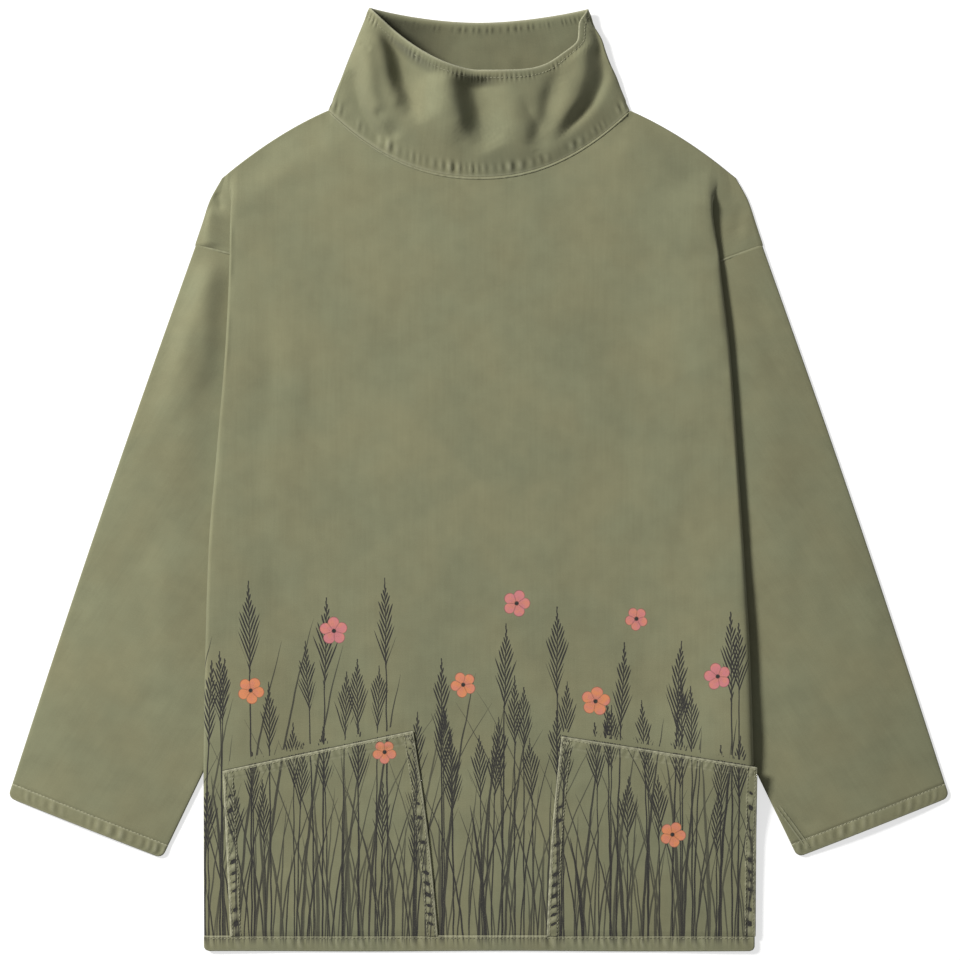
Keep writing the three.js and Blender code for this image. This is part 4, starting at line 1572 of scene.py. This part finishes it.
class Sketch:
    """Adds shader nodes to one tree."""

    def __init__(self, tree: bpy.types.NodeTree) -> None:
        """Starts on an empty tree."""
        self.tree = tree
        tree.nodes.clear()

    @staticmethod
    def new_material(name: str) -> tuple[Sketch, bpy.types.Material]:
        """Starts a material.

        Args:
            name: the material's name.

        Returns:
            The sketch of its tree, and the material.
        """
        material = bpy.data.materials.new(name)
        material.use_nodes = True
        return Sketch(material.node_tree), material

    @staticmethod
    def new_group(name: str, inputs: tuple[str, ...], outputs: tuple[str, ...]) -> tuple[Sketch, dict]:
        """Starts a node group of numbers.

        Args:
            name: the group's name.
            inputs: the names of what it takes.
            outputs: the names of what it gives.

        Returns:
            The group's sketch, and the values of what it takes, by name.
        """
        tree = bpy.data.node_groups.new(name, "ShaderNodeTree")
        for way, labels in (("INPUT", inputs), ("OUTPUT", outputs)):
            for label in labels:
                tree.interface.new_socket(label, in_out=way, socket_type="NodeSocketFloat")
        sketch = Sketch(tree)
        taken = sketch.add("NodeGroupInput").outputs
        return sketch, {label: Value(sketch, taken[label]) for label in inputs}

    def add(self, kind: str, inputs: dict | None = None, **settings: object) -> bpy.types.Node:
        """Adds a node.

        Args:
            kind: the node's type.
            inputs: what each input takes, a value of the tree or a plain one, by name or number.
            settings: the node's own properties.

        Returns:
            The node.
        """
        node = self.tree.nodes.new(kind)
        for name, setting in settings.items():
            setattr(node, name, setting)
        for name, taken in (inputs or {}).items():
            if isinstance(taken, Value):
                self.tree.links.new(taken.socket, node.inputs[name])
            else:
                node.inputs[name].default_value = taken
        return node

    def value(self, kind: str, inputs: dict | None = None, out: str | int = 0, **settings: object) -> Value:
        """Adds a node and gives one of its outputs."""
        return Value(self, self.add(kind, inputs, **settings).outputs[out])

    def values(self, kind: str, inputs: dict) -> list[Value]:
        """Adds a node and gives all its outputs."""
        return [Value(self, socket) for socket in self.add(kind, inputs).outputs]

    def math(self, operation: str, *terms: Value | float, clamp: bool = False) -> Value:
        """One step of arithmetic."""
        return self.value("ShaderNodeMath", dict(enumerate(terms)), operation=operation, use_clamp=clamp)

    def attribute(self, name: str) -> Value:
        """One of the mesh's own numbers."""
        return self.value("ShaderNodeAttribute", out="Fac", attribute_name=name)

    def draws(self, seed: Value) -> list[Value]:
        """Three random numbers from 0 to 1 that go with a seed."""
        white = self.value("ShaderNodeTexWhiteNoise", {"W": seed}, "Color", noise_dimensions="1D")
        return self.values("ShaderNodeSeparateColor", {0: white})

    def noise(self, place: Value, scale: float, detail: float = 2.0, roughness: float = 0.5) -> Value:
        """Noise from 0 to 1."""
        inputs = {"Vector": place, "Scale": scale, "Detail": detail, "Roughness": roughness}
        return self.value("ShaderNodeTexNoise", inputs)

    def stretched(self, place: Value, x: float, y: float, turn: float = 0.0) -> Value:
        """A place with its two directions scaled apart."""
        inputs = {"Vector": place, "Scale": (x, y, 1.0), "Rotation": (0.0, 0.0, turn)}
        return self.value("ShaderNodeMapping", inputs)

    def blend(self, share: Value | float, a: Value | Colour, b: Value | Colour) -> Value:
        """Mixes two colours, from a at 0 to b at 1."""
        return self.value("ShaderNodeMix", {0: share, 6: a, 7: b}, 2, data_type="RGBA")

    def dimmed(self, tone: Value | tuple[float, ...], share: Value) -> Value:
        """A colour times a number."""
        return self.value("ShaderNodeVectorMath", {0: tone, "Scale": share}, operation="SCALE")

    def bump(self, height: Value, strength: float, distance: float) -> Value:
        """The normal of a surface with a fine relief."""
        return self.value("ShaderNodeBump", {"Height": height, "Strength": strength, "Distance": distance})

    def surface(self, inputs: dict) -> None:
        """Ends a material's tree with its shader."""
        self.add("ShaderNodeOutputMaterial", {"Surface": self.value("ShaderNodeBsdfPrincipled", inputs)})


@dataclass(frozen=True)
class Drill:
    """Washed cotton drill: a fine diagonal weave, a cloudy dye, paler places where it has worn, and painted
    shade.

    Attributes:
        warm, cool: the two tones of its clouds.
        worn: the tone where the dye is gone.
        printed: whether the border is printed on it.
    """

    name: str = "washed_drill"
    warm: Colour = colour(0.170, 0.166, 0.096)
    cool: Colour = colour(0.163, 0.167, 0.1)
    worn: Colour = colour(0.33, 0.325, 0.225)
    roughness: float = 0.92
    printed: bool = False

    def build(self) -> bpy.types.Material:
        """Makes the material.

        Returns:
            The material, which needs the UV map "cloth" and the attributes "worn" and "inked".
        """
        sketch, material = Sketch.new_material(self.name)
        place = sketch.value("ShaderNodeUVMap", uv_map="cloth")
        worn = sketch.attribute("worn")
        clouds = sketch.noise(place, 14.0, 3.0).ramp(0.3, 0.7)
        grain = sketch.noise(place, 1500.0, 2.0, 0.7)
        streaks = sketch.noise(sketch.stretched(place, 420.0, 16.0), 1.0, 3.0, 0.6)
        slubs = sketch.noise(sketch.stretched(place, 90.0, 1400.0), 1.0, 2.0, 0.6)
        blotches, drifts = sketch.noise(place, 60.0, 3.0), sketch.noise(place, 12.0, 3.0)
        # Painted shade: where the worn mark is below 0, the dye is darkened by up to 60 per cent.
        tone = sketch.math("MINIMUM", worn, 0.0).scaled(0.6, 1.0)
        for part, size in ((streaks, 0.025), (slubs, 0.02), (grain, 0.11), (blotches, 0.04), (drifts, 0.06)):
            tone = tone + part.ramp(0.25, 0.75, -size, size)
        dyed = sketch.dimmed(sketch.blend(clouds, self.cool, self.warm), tone)
        patchy = sketch.noise(place, 900.0, 2.0).ramp(0.25, 0.6, 0.5, 1.0)
        cloth = sketch.blend(sketch.math("MULTIPLY", worn, patchy, clamp=True), dyed, self.worn)
        if self.printed:
            cloth = Print().over(sketch, place, cloth, worn)
        weave = sketch.value(
            "ShaderNodeTexWave",
            {"Vector": place, "Scale": 590.0, "Distortion": 1.5, "Detail": 1.0, "Detail Scale": 2.0},
            "Fac",
            bands_direction="DIAGONAL",
        )
        sketch.surface(
            {
                "Base Color": cloth,
                "Roughness": self.roughness,
                "Normal": sketch.bump(weave * 0.6 + grain * 1.2, 0.3, 0.00025),
                "Specular IOR Level": 0.18,
                "Sheen Weight": 0.12,
                "Sheen Roughness": 0.5,
            }
        )
        return material


@dataclass(frozen=True)
class Row:
    """One layer of printed plants, one to a column.

    Attributes:
        column: width of a column.
        shift: how far the row is moved sideways.
        low: height of the shortest tip, from the drawing's middle.
        high: height of the tallest.
    """

    column: float
    shift: float
    low: float
    high: float

    def labels(self) -> dict[str, float]:
        """The row's numbers under the names that its node group's inputs have."""
        return {name.capitalize(): number for name, number in vars(self).items()}


@dataclass(frozen=True)
class Blades(Row):
    """A leaning row of blades of grass.

    Attributes:
        slope: how far the row leans, as a share of its height where this is the arch.
        bend: how far a tip curls off its blade's line.
        thick: half the thickness of a blade at its foot.
    """

    slope: float
    bend: float
    thick: float


@dataclass(frozen=True)
class Frond(Row):
    """A row of leaning stems with leaflets.

    Attributes:
        pitch: distance between leaflets along a stem.
        leaf: length of the longest leaflet.
        slant: how far a leaflet climbs for each millimetre it reaches out.
        stem: thickness of a stem.
        lean: how far a stem's tip leans.
        leafy: length of the part with leaflets.
    """

    pitch: float
    leaf: float
    slant: float
    stem: float
    lean: float
    leafy: float


@dataclass(frozen=True)
class Blossom:
    """One printed blossom: its centre, its radius, its tone from pink to orange, and its turn."""

    x: float
    y: float
    radius: float
    tone: float
    turn: float


@dataclass(frozen=True)
class Print:
    """A border of crossing grass and fern fronds with a few blossoms, climbing from the hem.

    Attributes:
        pink, orange: the two ends of the blossoms' tones.
        foot: where the plants stand, under the hem.
        arch: how high a blade of grass stands where it leans by its whole slope.
        soft: how far off a line's edge its ink starts to fade, and ends.
    """

    ink: Colour = colour(0.022, 0.021, 0.022)
    pink: Colour = colour(0.46, 0.16, 0.17)
    orange: Colour = colour(0.56, 0.205, 0.095)
    foot: float = -440.0
    arch: float = 170.0
    soft: tuple[float, float] = (-0.25, 0.35)
    blades: tuple[Blades, ...] = (
        Blades(12.0, 3.0, -350.0, -225.0, 0.14, 5.0, 0.8),
        Blades(15.0, 6.0, -370.0, -235.0, -0.19, 6.5, 0.8),
        Blades(19.0, 1.0, -330.0, -175.0, 0.04, 9.0, 0.9),
        Blades(22.0, 14.0, -310.0, -195.0, 0.24, 10.0, 0.9),
        Blades(23.0, 4.0, -300.0, -185.0, -0.22, 11.0, 0.8),
        Blades(31.0, 20.0, -250.0, -125.0, 0.08, 15.0, 1.4),
        Blades(41.0, 8.0, -330.0, -230.0, -0.06, 16.0, 1.9),
    )
    fronds: tuple[Frond, ...] = (
        Frond(53.0, 11.0, -176.0, -70.0, 7.4, 10.0, 2.7, 1.2, 18.0, 84.0),
        Frond(43.0, 37.0, -226.0, -112.0, 6.4, 9.0, 2.6, 1.1, -15.0, 66.0),
        Frond(35.0, 9.0, -250.0, -160.0, 7.0, 9.0, 3.0, 1.0, 12.0, 60.0),
        Frond(27.0, 16.0, -300.0, -205.0, 7.4, 9.5, 3.0, 0.9, -9.0, 62.0),
    )
    blossoms: tuple[Blossom, ...] = (
        Blossom(-207.0, -191.0, 12.5, 1.0, 0.2),
        Blossom(-132.0, -137.0, 13.0, 0.1, 0.9),
        Blossom(-86.0, -247.0, 11.0, 0.7, 0.3),
        Blossom(-14.0, -186.0, 12.0, 0.85, 0.5),
        Blossom(34.0, -112.0, 12.5, 0.2, 0.0),
        Blossom(106.0, -201.0, 13.5, 0.75, 1.1),
        Blossom(143.0, -126.0, 11.0, 0.35, 0.4),
        Blossom(216.0, -178.0, 12.5, 0.05, 0.7),
        Blossom(176.0, -322.0, 12.0, 0.9, 0.1),
    )

    def over(self, sketch: Sketch, place: Value, cloth: Value, worn: Value) -> Value:
        """Prints over the cloth's colour.

        Args:
            sketch: the material's tree.
            place: the place in the flat cloth, in metres.
            cloth: the cloth's colour.
            worn: how much has worn off.

        Returns:
            The printed colour.
        """
        wobble = sketch.noise(place, 35.0, 1.0).ramp(0.2, 0.8, -0.5, 0.5)
        across, up, _ = sketch.values("ShaderNodeSeparateXYZ", {0: place})
        x, y = across * MM_PER_M + wobble, up * MM_PER_M
        # The ink starts with a painted shadow line along each pocket's mouth.
        gap, ink = self.mouth_gap(sketch, x, y)
        ink = ink.at_least(sketch.attribute("inked").ramp(0.3, 0.5))
        for tree, rows in ((self.blade_group(), self.blades), (self.frond_group(), self.fronds)):
            for row in rows:
                inputs = {"X": x, "Y": y, **row.labels()}
                ink = ink.at_least(sketch.value("ShaderNodeGroup", inputs, node_tree=tree))
        dry = sketch.noise(place, 1100.0, 2.0, 0.6).ramp(0.3, 0.42, 0.55, 0.97)
        cover = gap * worn.scaled(-0.9, 1.0, clamp=True) * y.ramp(-425.0, -413.0, 0.06, 1.0)
        result = sketch.blend(ink * dry * cover, cloth, self.ink)
        patches = sketch.noise(place, 120.0, 2.0).ramp(0.35, 0.65, -0.25, 0.25)
        thin = sketch.noise(place, 700.0, 2.0).ramp(0.3, 0.45, 0.75, 0.97)
        flower = self.blossom_group()
        for blossom in self.blossoms:
            inputs = {"X": x, "Y": y, "Centre X": blossom.x, "Centre Y": blossom.y}
            inputs |= {"Radius": blossom.radius, "Turn": blossom.turn}
            node = sketch.add("ShaderNodeGroup", inputs, node_tree=flower)
            inside, dark = (Value(sketch, socket) for socket in node.outputs)
            tint = sketch.blend(patches + blossom.tone, self.pink, self.orange)
            result = sketch.blend(inside * thin * cover, result, sketch.blend(dark, tint, self.ink))
        return result

    @staticmethod
    def columns(x: Value, given: dict[str, Value], stride: float) -> tuple[Value, Value]:
        """Splits a row into its columns.

        Args:
            x: the place from side to side.
            given: the row's numbers.
            stride: what the column's width is multiplied by in the seeds.

        Returns:
            How far the place lies from its column's middle, and the column's seed.
        """
        moved = (x + given["Shift"]) / given["Column"]
        cell = x.sketch.math("FLOOR", moved)
        return (moved - cell - 0.5) * given["Column"], given["Column"].scaled(stride, cell)

    def blade_group(self) -> bpy.types.NodeTree:
        """The formula of one layer of grass, as a node group.

        A row leans the more the higher it climbs. In each column the distance from one curve, a square of
        the climb, is compared with a thickness that narrows to the tip.

        Returns:
            The group.
        """
        sketch, given = Sketch.new_group("blade_row", ("X", "Y", *self.blades[0].labels()), ("Ink",))
        rise = given["Y"] - self.foot
        sheared = given["X"] - rise * rise / self.arch * given["Slope"]
        inside, seed = self.columns(sheared, given, 5.3)
        draws = sketch.draws(seed)
        tip = (draws[0] ** 1.5).scaled(given["High"] - given["Low"], given["Low"])
        climb = rise / (tip - self.foot)
        curl = climb * climb * given["Bend"] * draws[1].scaled(1.0, -0.5)
        spot = (draws[2] - 0.5) * (given["Column"] * 0.4)
        away = inside - (spot + curl)
        narrow = sketch.math("SQRT", sketch.math("SUBTRACT", 1.0, climb, clamp=True))
        thick = given["Thick"] * climb.ramp(0.0, 0.5, 0.6, 1.12) * narrow.scaled(1.1, -0.06)
        strength = (climb < 1.0) * draws[1].scaled(-0.38, 1.0)
        sketch.add("NodeGroupOutput", {0: (abs(away) - thick).fall(*self.soft) * strength})
        return sketch.tree

    def frond_group(self) -> bpy.types.NodeTree:
        """The formula of one layer of fronds, as a node group.

        A column has one stem, at a place, height and lean of its own. Along the stem, leaflets are
        slanted strokes at a steady pitch. Their length swells and shrinks from the leafy part's foot
        to the tip, and each has a random share of it.

        Returns:
            The group.
        """
        sketch, given = Sketch.new_group("frond_row", ("X", "Y", *self.fronds[0].labels()), ("Ink",))
        inside, seed = self.columns(given["X"], given, 3.7)
        draws = sketch.draws(seed)
        tip = draws[0].scaled(given["High"] - given["Low"], given["Low"])
        climb = (given["Y"] - self.foot) / (tip - self.foot)
        lean = climb.at_least(0.0) ** 2.0 * given["Lean"] * draws[1].scaled(1.5, -0.4)
        spot = (draws[2] - 0.5) * (given["Column"] * 0.42)
        aside = inside - (spot - lean * 0.5) - lean
        away, below_tip = abs(aside), tip - given["Y"]
        alive = below_tip > 0.0
        thick = given["Stem"] * climb.ramp(0.4, 1.0, 0.6, 0.3)
        stem = (away - thick).fall(*self.soft) * alive

        part = below_tip / given["Leafy"]
        swell = part.ramp(0.0, 0.45) * part.fall(0.55, 1.0)
        other_side = sketch.math("SIGN", aside) * 0.25
        climbed = away.scaled(given["Slant"] * -1.0, given["Y"])
        along = climbed / given["Pitch"] + other_side + 100.0
        leaf_draws = sketch.draws(seed * 17.0 + sketch.math("FLOOR", along))
        reach = given["Leaf"] * leaf_draws[0].scaled(0.75, 0.45) * swell.scaled(0.92, 0.08)
        out = away / reach.at_least(0.1)
        slim = (1.0 - out) * out.scaled(1.1, 0.16)
        centred = abs(sketch.math("FRACT", along) - 0.5)
        leaf = (centred - slim * 0.84).fall(-0.06, 0.06) * (part < 1.0) * (alive * (out < 1.0))
        sketch.add("NodeGroupOutput", {0: stem.at_least(leaf)})
        return sketch.tree

    def blossom_group(self) -> bpy.types.NodeTree:
        """The formula of one blossom, as a node group: five round petals about a dark eye.

        The petals' edge is a wave of the angle about the centre.

        Returns:
            The group.
        """
        names = ("X", "Y", "Centre X", "Centre Y", "Radius", "Turn")
        sketch, given = Sketch.new_group("blossom", names, ("Inside", "Dark"))
        dx, dy = given["X"] - given["Centre X"], given["Y"] - given["Centre Y"]
        far = sketch.math("SQRT", dx.scaled(dx, dy * dy))
        angle = sketch.math("ARCTAN2", dy, dx) + given["Turn"]
        petals = abs(sketch.math("COSINE", angle * 2.5))
        edge = (petals**0.55).scaled(0.4, 0.6) * given["Radius"]
        veins = abs(sketch.math("SINE", angle * 12.5)).fall(0.0, 0.3) * far.ramp(3.0, 8.5, 0.8, 0.0)
        splits = petals.fall(0.0, 0.2) * far.ramp(2.0, 10.0, 0.85, 0.3)
        outline = (edge - far).ramp(0.2, 1.1, 0.65, 0.0)
        dark = far.fall(1.4, 2.6).at_least(veins).at_least(splits.at_least(outline))
        sketch.add("NodeGroupOutput", {0: (far - edge).fall(-0.5, 0.3), 1: dark})
        return sketch.tree

    def mouth_gap(self, sketch: Sketch, x: Value, y: Value) -> tuple[Value, Value]:
        """The strip above each pocket's mouth, which the raised edge kept from the ink, and a painted shadow
        line just above the edge.

        Args:
            sketch: the material's tree.
            x: the place from side to side, in millimetres.
            y: the height, in millimetres.

        Returns:
            How much of the ink is left, and a painted shadow line in the ink's colour along the mouth's edge.
        """
        bare = mouth_shadow = 0.0
        reach = sketch.math("SINE", x * 1.3).ramp(-0.1, 0.3).scaled(3.0, 5.0)
        for (x0, y0), (x1, y1), *_ in Pocket.CORNERS.values():
            slope = (y1 - y0) / (x1 - x0)
            over = y - x.scaled(slope, y0 - slope * x0)
            wide = (x > min(x0, x1)) * (x < max(x0, x1))
            bare = ((over > 1.6) * (over < reach) * wide).at_least(bare)
            # Painted shadow: a dark line along the pocket's edge, where the mouth's gap lies in shade.
            line = over.ramp(0.9, 1.7, 0.62, 0.0) * (over > -1.0)
            mouth_shadow = (line * wide).at_least(mouth_shadow)
        return 1.0 - bare, mouth_shadow


@dataclass(frozen=True)
class Thread:
    """Cotton sewing thread, paler than the cloth after washing."""

    tone: tuple[float, float, float] = (0.29, 0.285, 0.19)

    def build(self) -> bpy.types.Material:
        """Makes the material.

        Returns:
            The material, with the twist of the thread in its bump.
        """
        sketch, material = Sketch.new_material("washed_thread")
        place = sketch.value("ShaderNodeTexCoord", out="Object")
        patchy = sketch.noise(place, 160.0, 2.0).ramp(0.3, 0.7, 0.7, 1.15)
        twist = sketch.noise(sketch.stretched(place, 6000.0, 2500.0, 0.6), 1.0, 1.0)
        sketch.surface(
            {
                "Base Color": sketch.dimmed(self.tone, patchy),
                "Roughness": 0.75,
                "Normal": sketch.bump(twist, 0.4, 0.0001),
                "Specular IOR Level": 0.25,
            }
        )
        return material


@dataclass
class Studio:
    """The table, the lights and the camera straight above, in metres.

    Attributes:
        shift: how far the photograph's middle lies to the right of the drawing's.
        sensor: width of the camera's sensor, in millimetres.
        fill, fill_tone: strength and colour of the light from all around.
        table_reach: half the width of the table.
        table_tone, table_glow: how pale the table is, and how far it shines by itself.
    """

    distance: float = 3.6
    shift: float = 0.0009
    sensor: float = 36.0
    key_power: float = 350.0
    key_place: tuple[float, float, float] = (-3.0, 1.9, 2.8)
    key_size: float = 1.0
    key_tone: tuple[float, float, float] = (1.0, 0.985, 0.96)
    fill: float = 0.28
    fill_tone: Colour = colour(0.97, 0.985, 1.0)
    table_reach: float = 6.0
    table_tone: float = 0.44
    table_glow: float = 0.64

    def table(self) -> None:
        """A plain white table, bright enough to print white around the smock."""
        corners = [(x * self.table_reach, y * self.table_reach, 0) for x, y in SQUARE]
        mesh = bpy.data.meshes.new("table")
        mesh.from_pydata(corners, [], [(0, 1, 2, 3)])
        sketch, material = Sketch.new_material("white_table")
        sketch.surface(
            {
                "Base Color": colour(*[self.table_tone] * 3),
                "Roughness": 0.9,
                "Emission Color": colour(1.0, 1.0, 1.0),
                "Emission Strength": self.table_glow,
                "Specular IOR Level": 0.1,
            }
        )
        mesh.materials.append(material)
        placed("table", mesh)

    def lights(self) -> None:
        """One key light from the upper left and an even light from all around."""
        light = bpy.data.lights.new("key", "AREA")
        light.energy, light.size, light.color = self.key_power, self.key_size, self.key_tone
        key = placed("key", light)
        x, y, z = key.location = self.key_place
        key.rotation_euler = (math.atan2(math.hypot(x, y), z), 0.0, math.atan2(x, -y))
        world = bpy.data.worlds.new("studio")
        world.use_nodes = True
        sketch = Sketch(world.node_tree)
        sky = sketch.value("ShaderNodeBackground", {"Color": self.fill_tone, "Strength": self.fill})
        sketch.add("ShaderNodeOutputWorld", {"Surface": sky})
        bpy.context.scene.world = world

    def camera(self) -> None:
        """A long lens straight above, with the photograph's frame."""
        data = bpy.data.cameras.new("camera")
        data.sensor_width = self.sensor
        data.lens = self.sensor * self.distance / (VIEW_PIXELS * PHOTO_PIXEL * MM)
        data.clip_end = 50.0
        camera = placed("camera", data)
        camera.location = (DRAWING_ORIGIN[0] * MM + self.shift, DRAWING_ORIGIN[1] * MM, self.distance)
        bpy.context.scene.camera = camera
        bpy.context.scene.view_settings.view_transform = "Standard"

    def build(self) -> None:
        """Sets up the whole studio."""
        self.camera()
        self.table()
        self.lights()


@dataclass(frozen=True)
class Cut:
    """How large the cloth of a piece is laid flat, in metres, and its area in square metres."""

    flat: tuple[float, float]
    area: float


@dataclass
class Smock:
    """All the pieces of the smock, dressed."""

    body: Body = field(default_factory=Body)

    BACK = Cut((0.516, 0.764), 0.366)
    FRONT = Cut((0.62, 0.764), 0.42)
    SLEEVE = Cut((0.48, 0.55), 0.20)
    COLLAR = Cut((0.50, 0.10), 0.047)
    POCKET = Cut((0.19, 0.185), 0.030)

    def __post_init__(self) -> None:
        """Makes the finishes."""
        self.cloth = Drill().build()
        self.printed = Drill(name="printed_drill", printed=True).build()
        self.thread = Thread().build()

    def settle(self, name: str, shells: list[Shell], finish: bpy.types.Material) -> bpy.types.Object:
        """Makes a piece that moves with the smock.

        Args:
            name: the piece's name.
            shells: what it is made of.
            finish: its material.

        Returns:
            The piece.
        """
        piece = to_object(name, joined(shells), finish)
        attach(piece, "root")
        return piece

    def dress(
        self,
        node: str,
        cloth: list[Shell],
        sewing: list[Shell] | None = None,
        printed: bool = False,
    ) -> None:
        """Makes a piece of cloth that stands for its solid, and its stitching.

        Args:
            node: the solid's name.
            cloth: the shells of the cloth.
            sewing: those of the stitching, if it has any.
            printed: whether the border is printed on it.
        """
        piece = self.settle(f"{node}_cloth", cloth, self.printed if printed else self.cloth)
        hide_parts(node)
        if sewing is None:
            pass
        else:
            stitch = self.settle(f"{node}_stitching", sewing, self.thread)

    def dress_sleeve(self, side: Side) -> None:
        """Makes a sleeve, with the edges of its underarm seam where they show, on the left.

        Args:
            side: which side.
        """
        sleeve = Sleeve(self.body, side)
        cloth = [thicken(grid) for grid in sleeve.grids()]
        if side is Side.LEFT:
            paths = [sleeve.underarm_seam(inset) for inset in sleeve.seam_insets]
            cloth += [Bead(1.8, 0.5).along(path, Puckers(0.5, 5.0)) for path in paths]
        self.dress(f"sleeve_{side.word}", cloth, [stitches(sleeve.cuff_row())])

    def dress_pocket(self, front: Front, side: Side) -> None:
        """Makes a pocket, with its rows of stitches and its bar tack.

        Args:
            front: the front that it is sewn on.
            side: which side.
        """
        pocket = Pocket(front, side)
        sewing = [stitches(path) for path in pocket.rows_of_stitches()]
        sewing += [stitches(path, 5.5, 0.5, 0.35) for path in pocket.bar_tack()]
        self.dress(f"pocket_{side.word}", [thicken(pocket.grid())], sewing, printed=True)

    def build(self) -> None:
        """Builds every piece, from the table up."""
        front, collar = Front(self.body), Collar(self.body)
        self.dress("back", [thicken(Back(self.body).grid())])
        for side in Side:
            self.dress_sleeve(side)
        cloth = [thicken(front.grid()), thicken(front.hem())]
        cloth.append(Bead(2.0, 0.7).along(front.neck_line(), Puckers(0.22, 6.6)))
        cloth += [Bead(2.2, 0.6).along(front.armhole(side), Puckers(0.3, 6.1)) for side in Side]
        self.dress("front", cloth, [stitches(front.hem_line())], printed=True)
        self.dress("collar", [thicken(collar.grid())], [stitches(collar.row())])
        for side in Side:
            self.dress_pocket(front, side)


def main() -> None:
    """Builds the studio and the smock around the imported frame."""
    logging.basicConfig(level=logging.INFO, format="%(name)s: %(message)s")
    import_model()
    Studio().build()
    Smock().build()


if __name__ == "__main__":
    main()
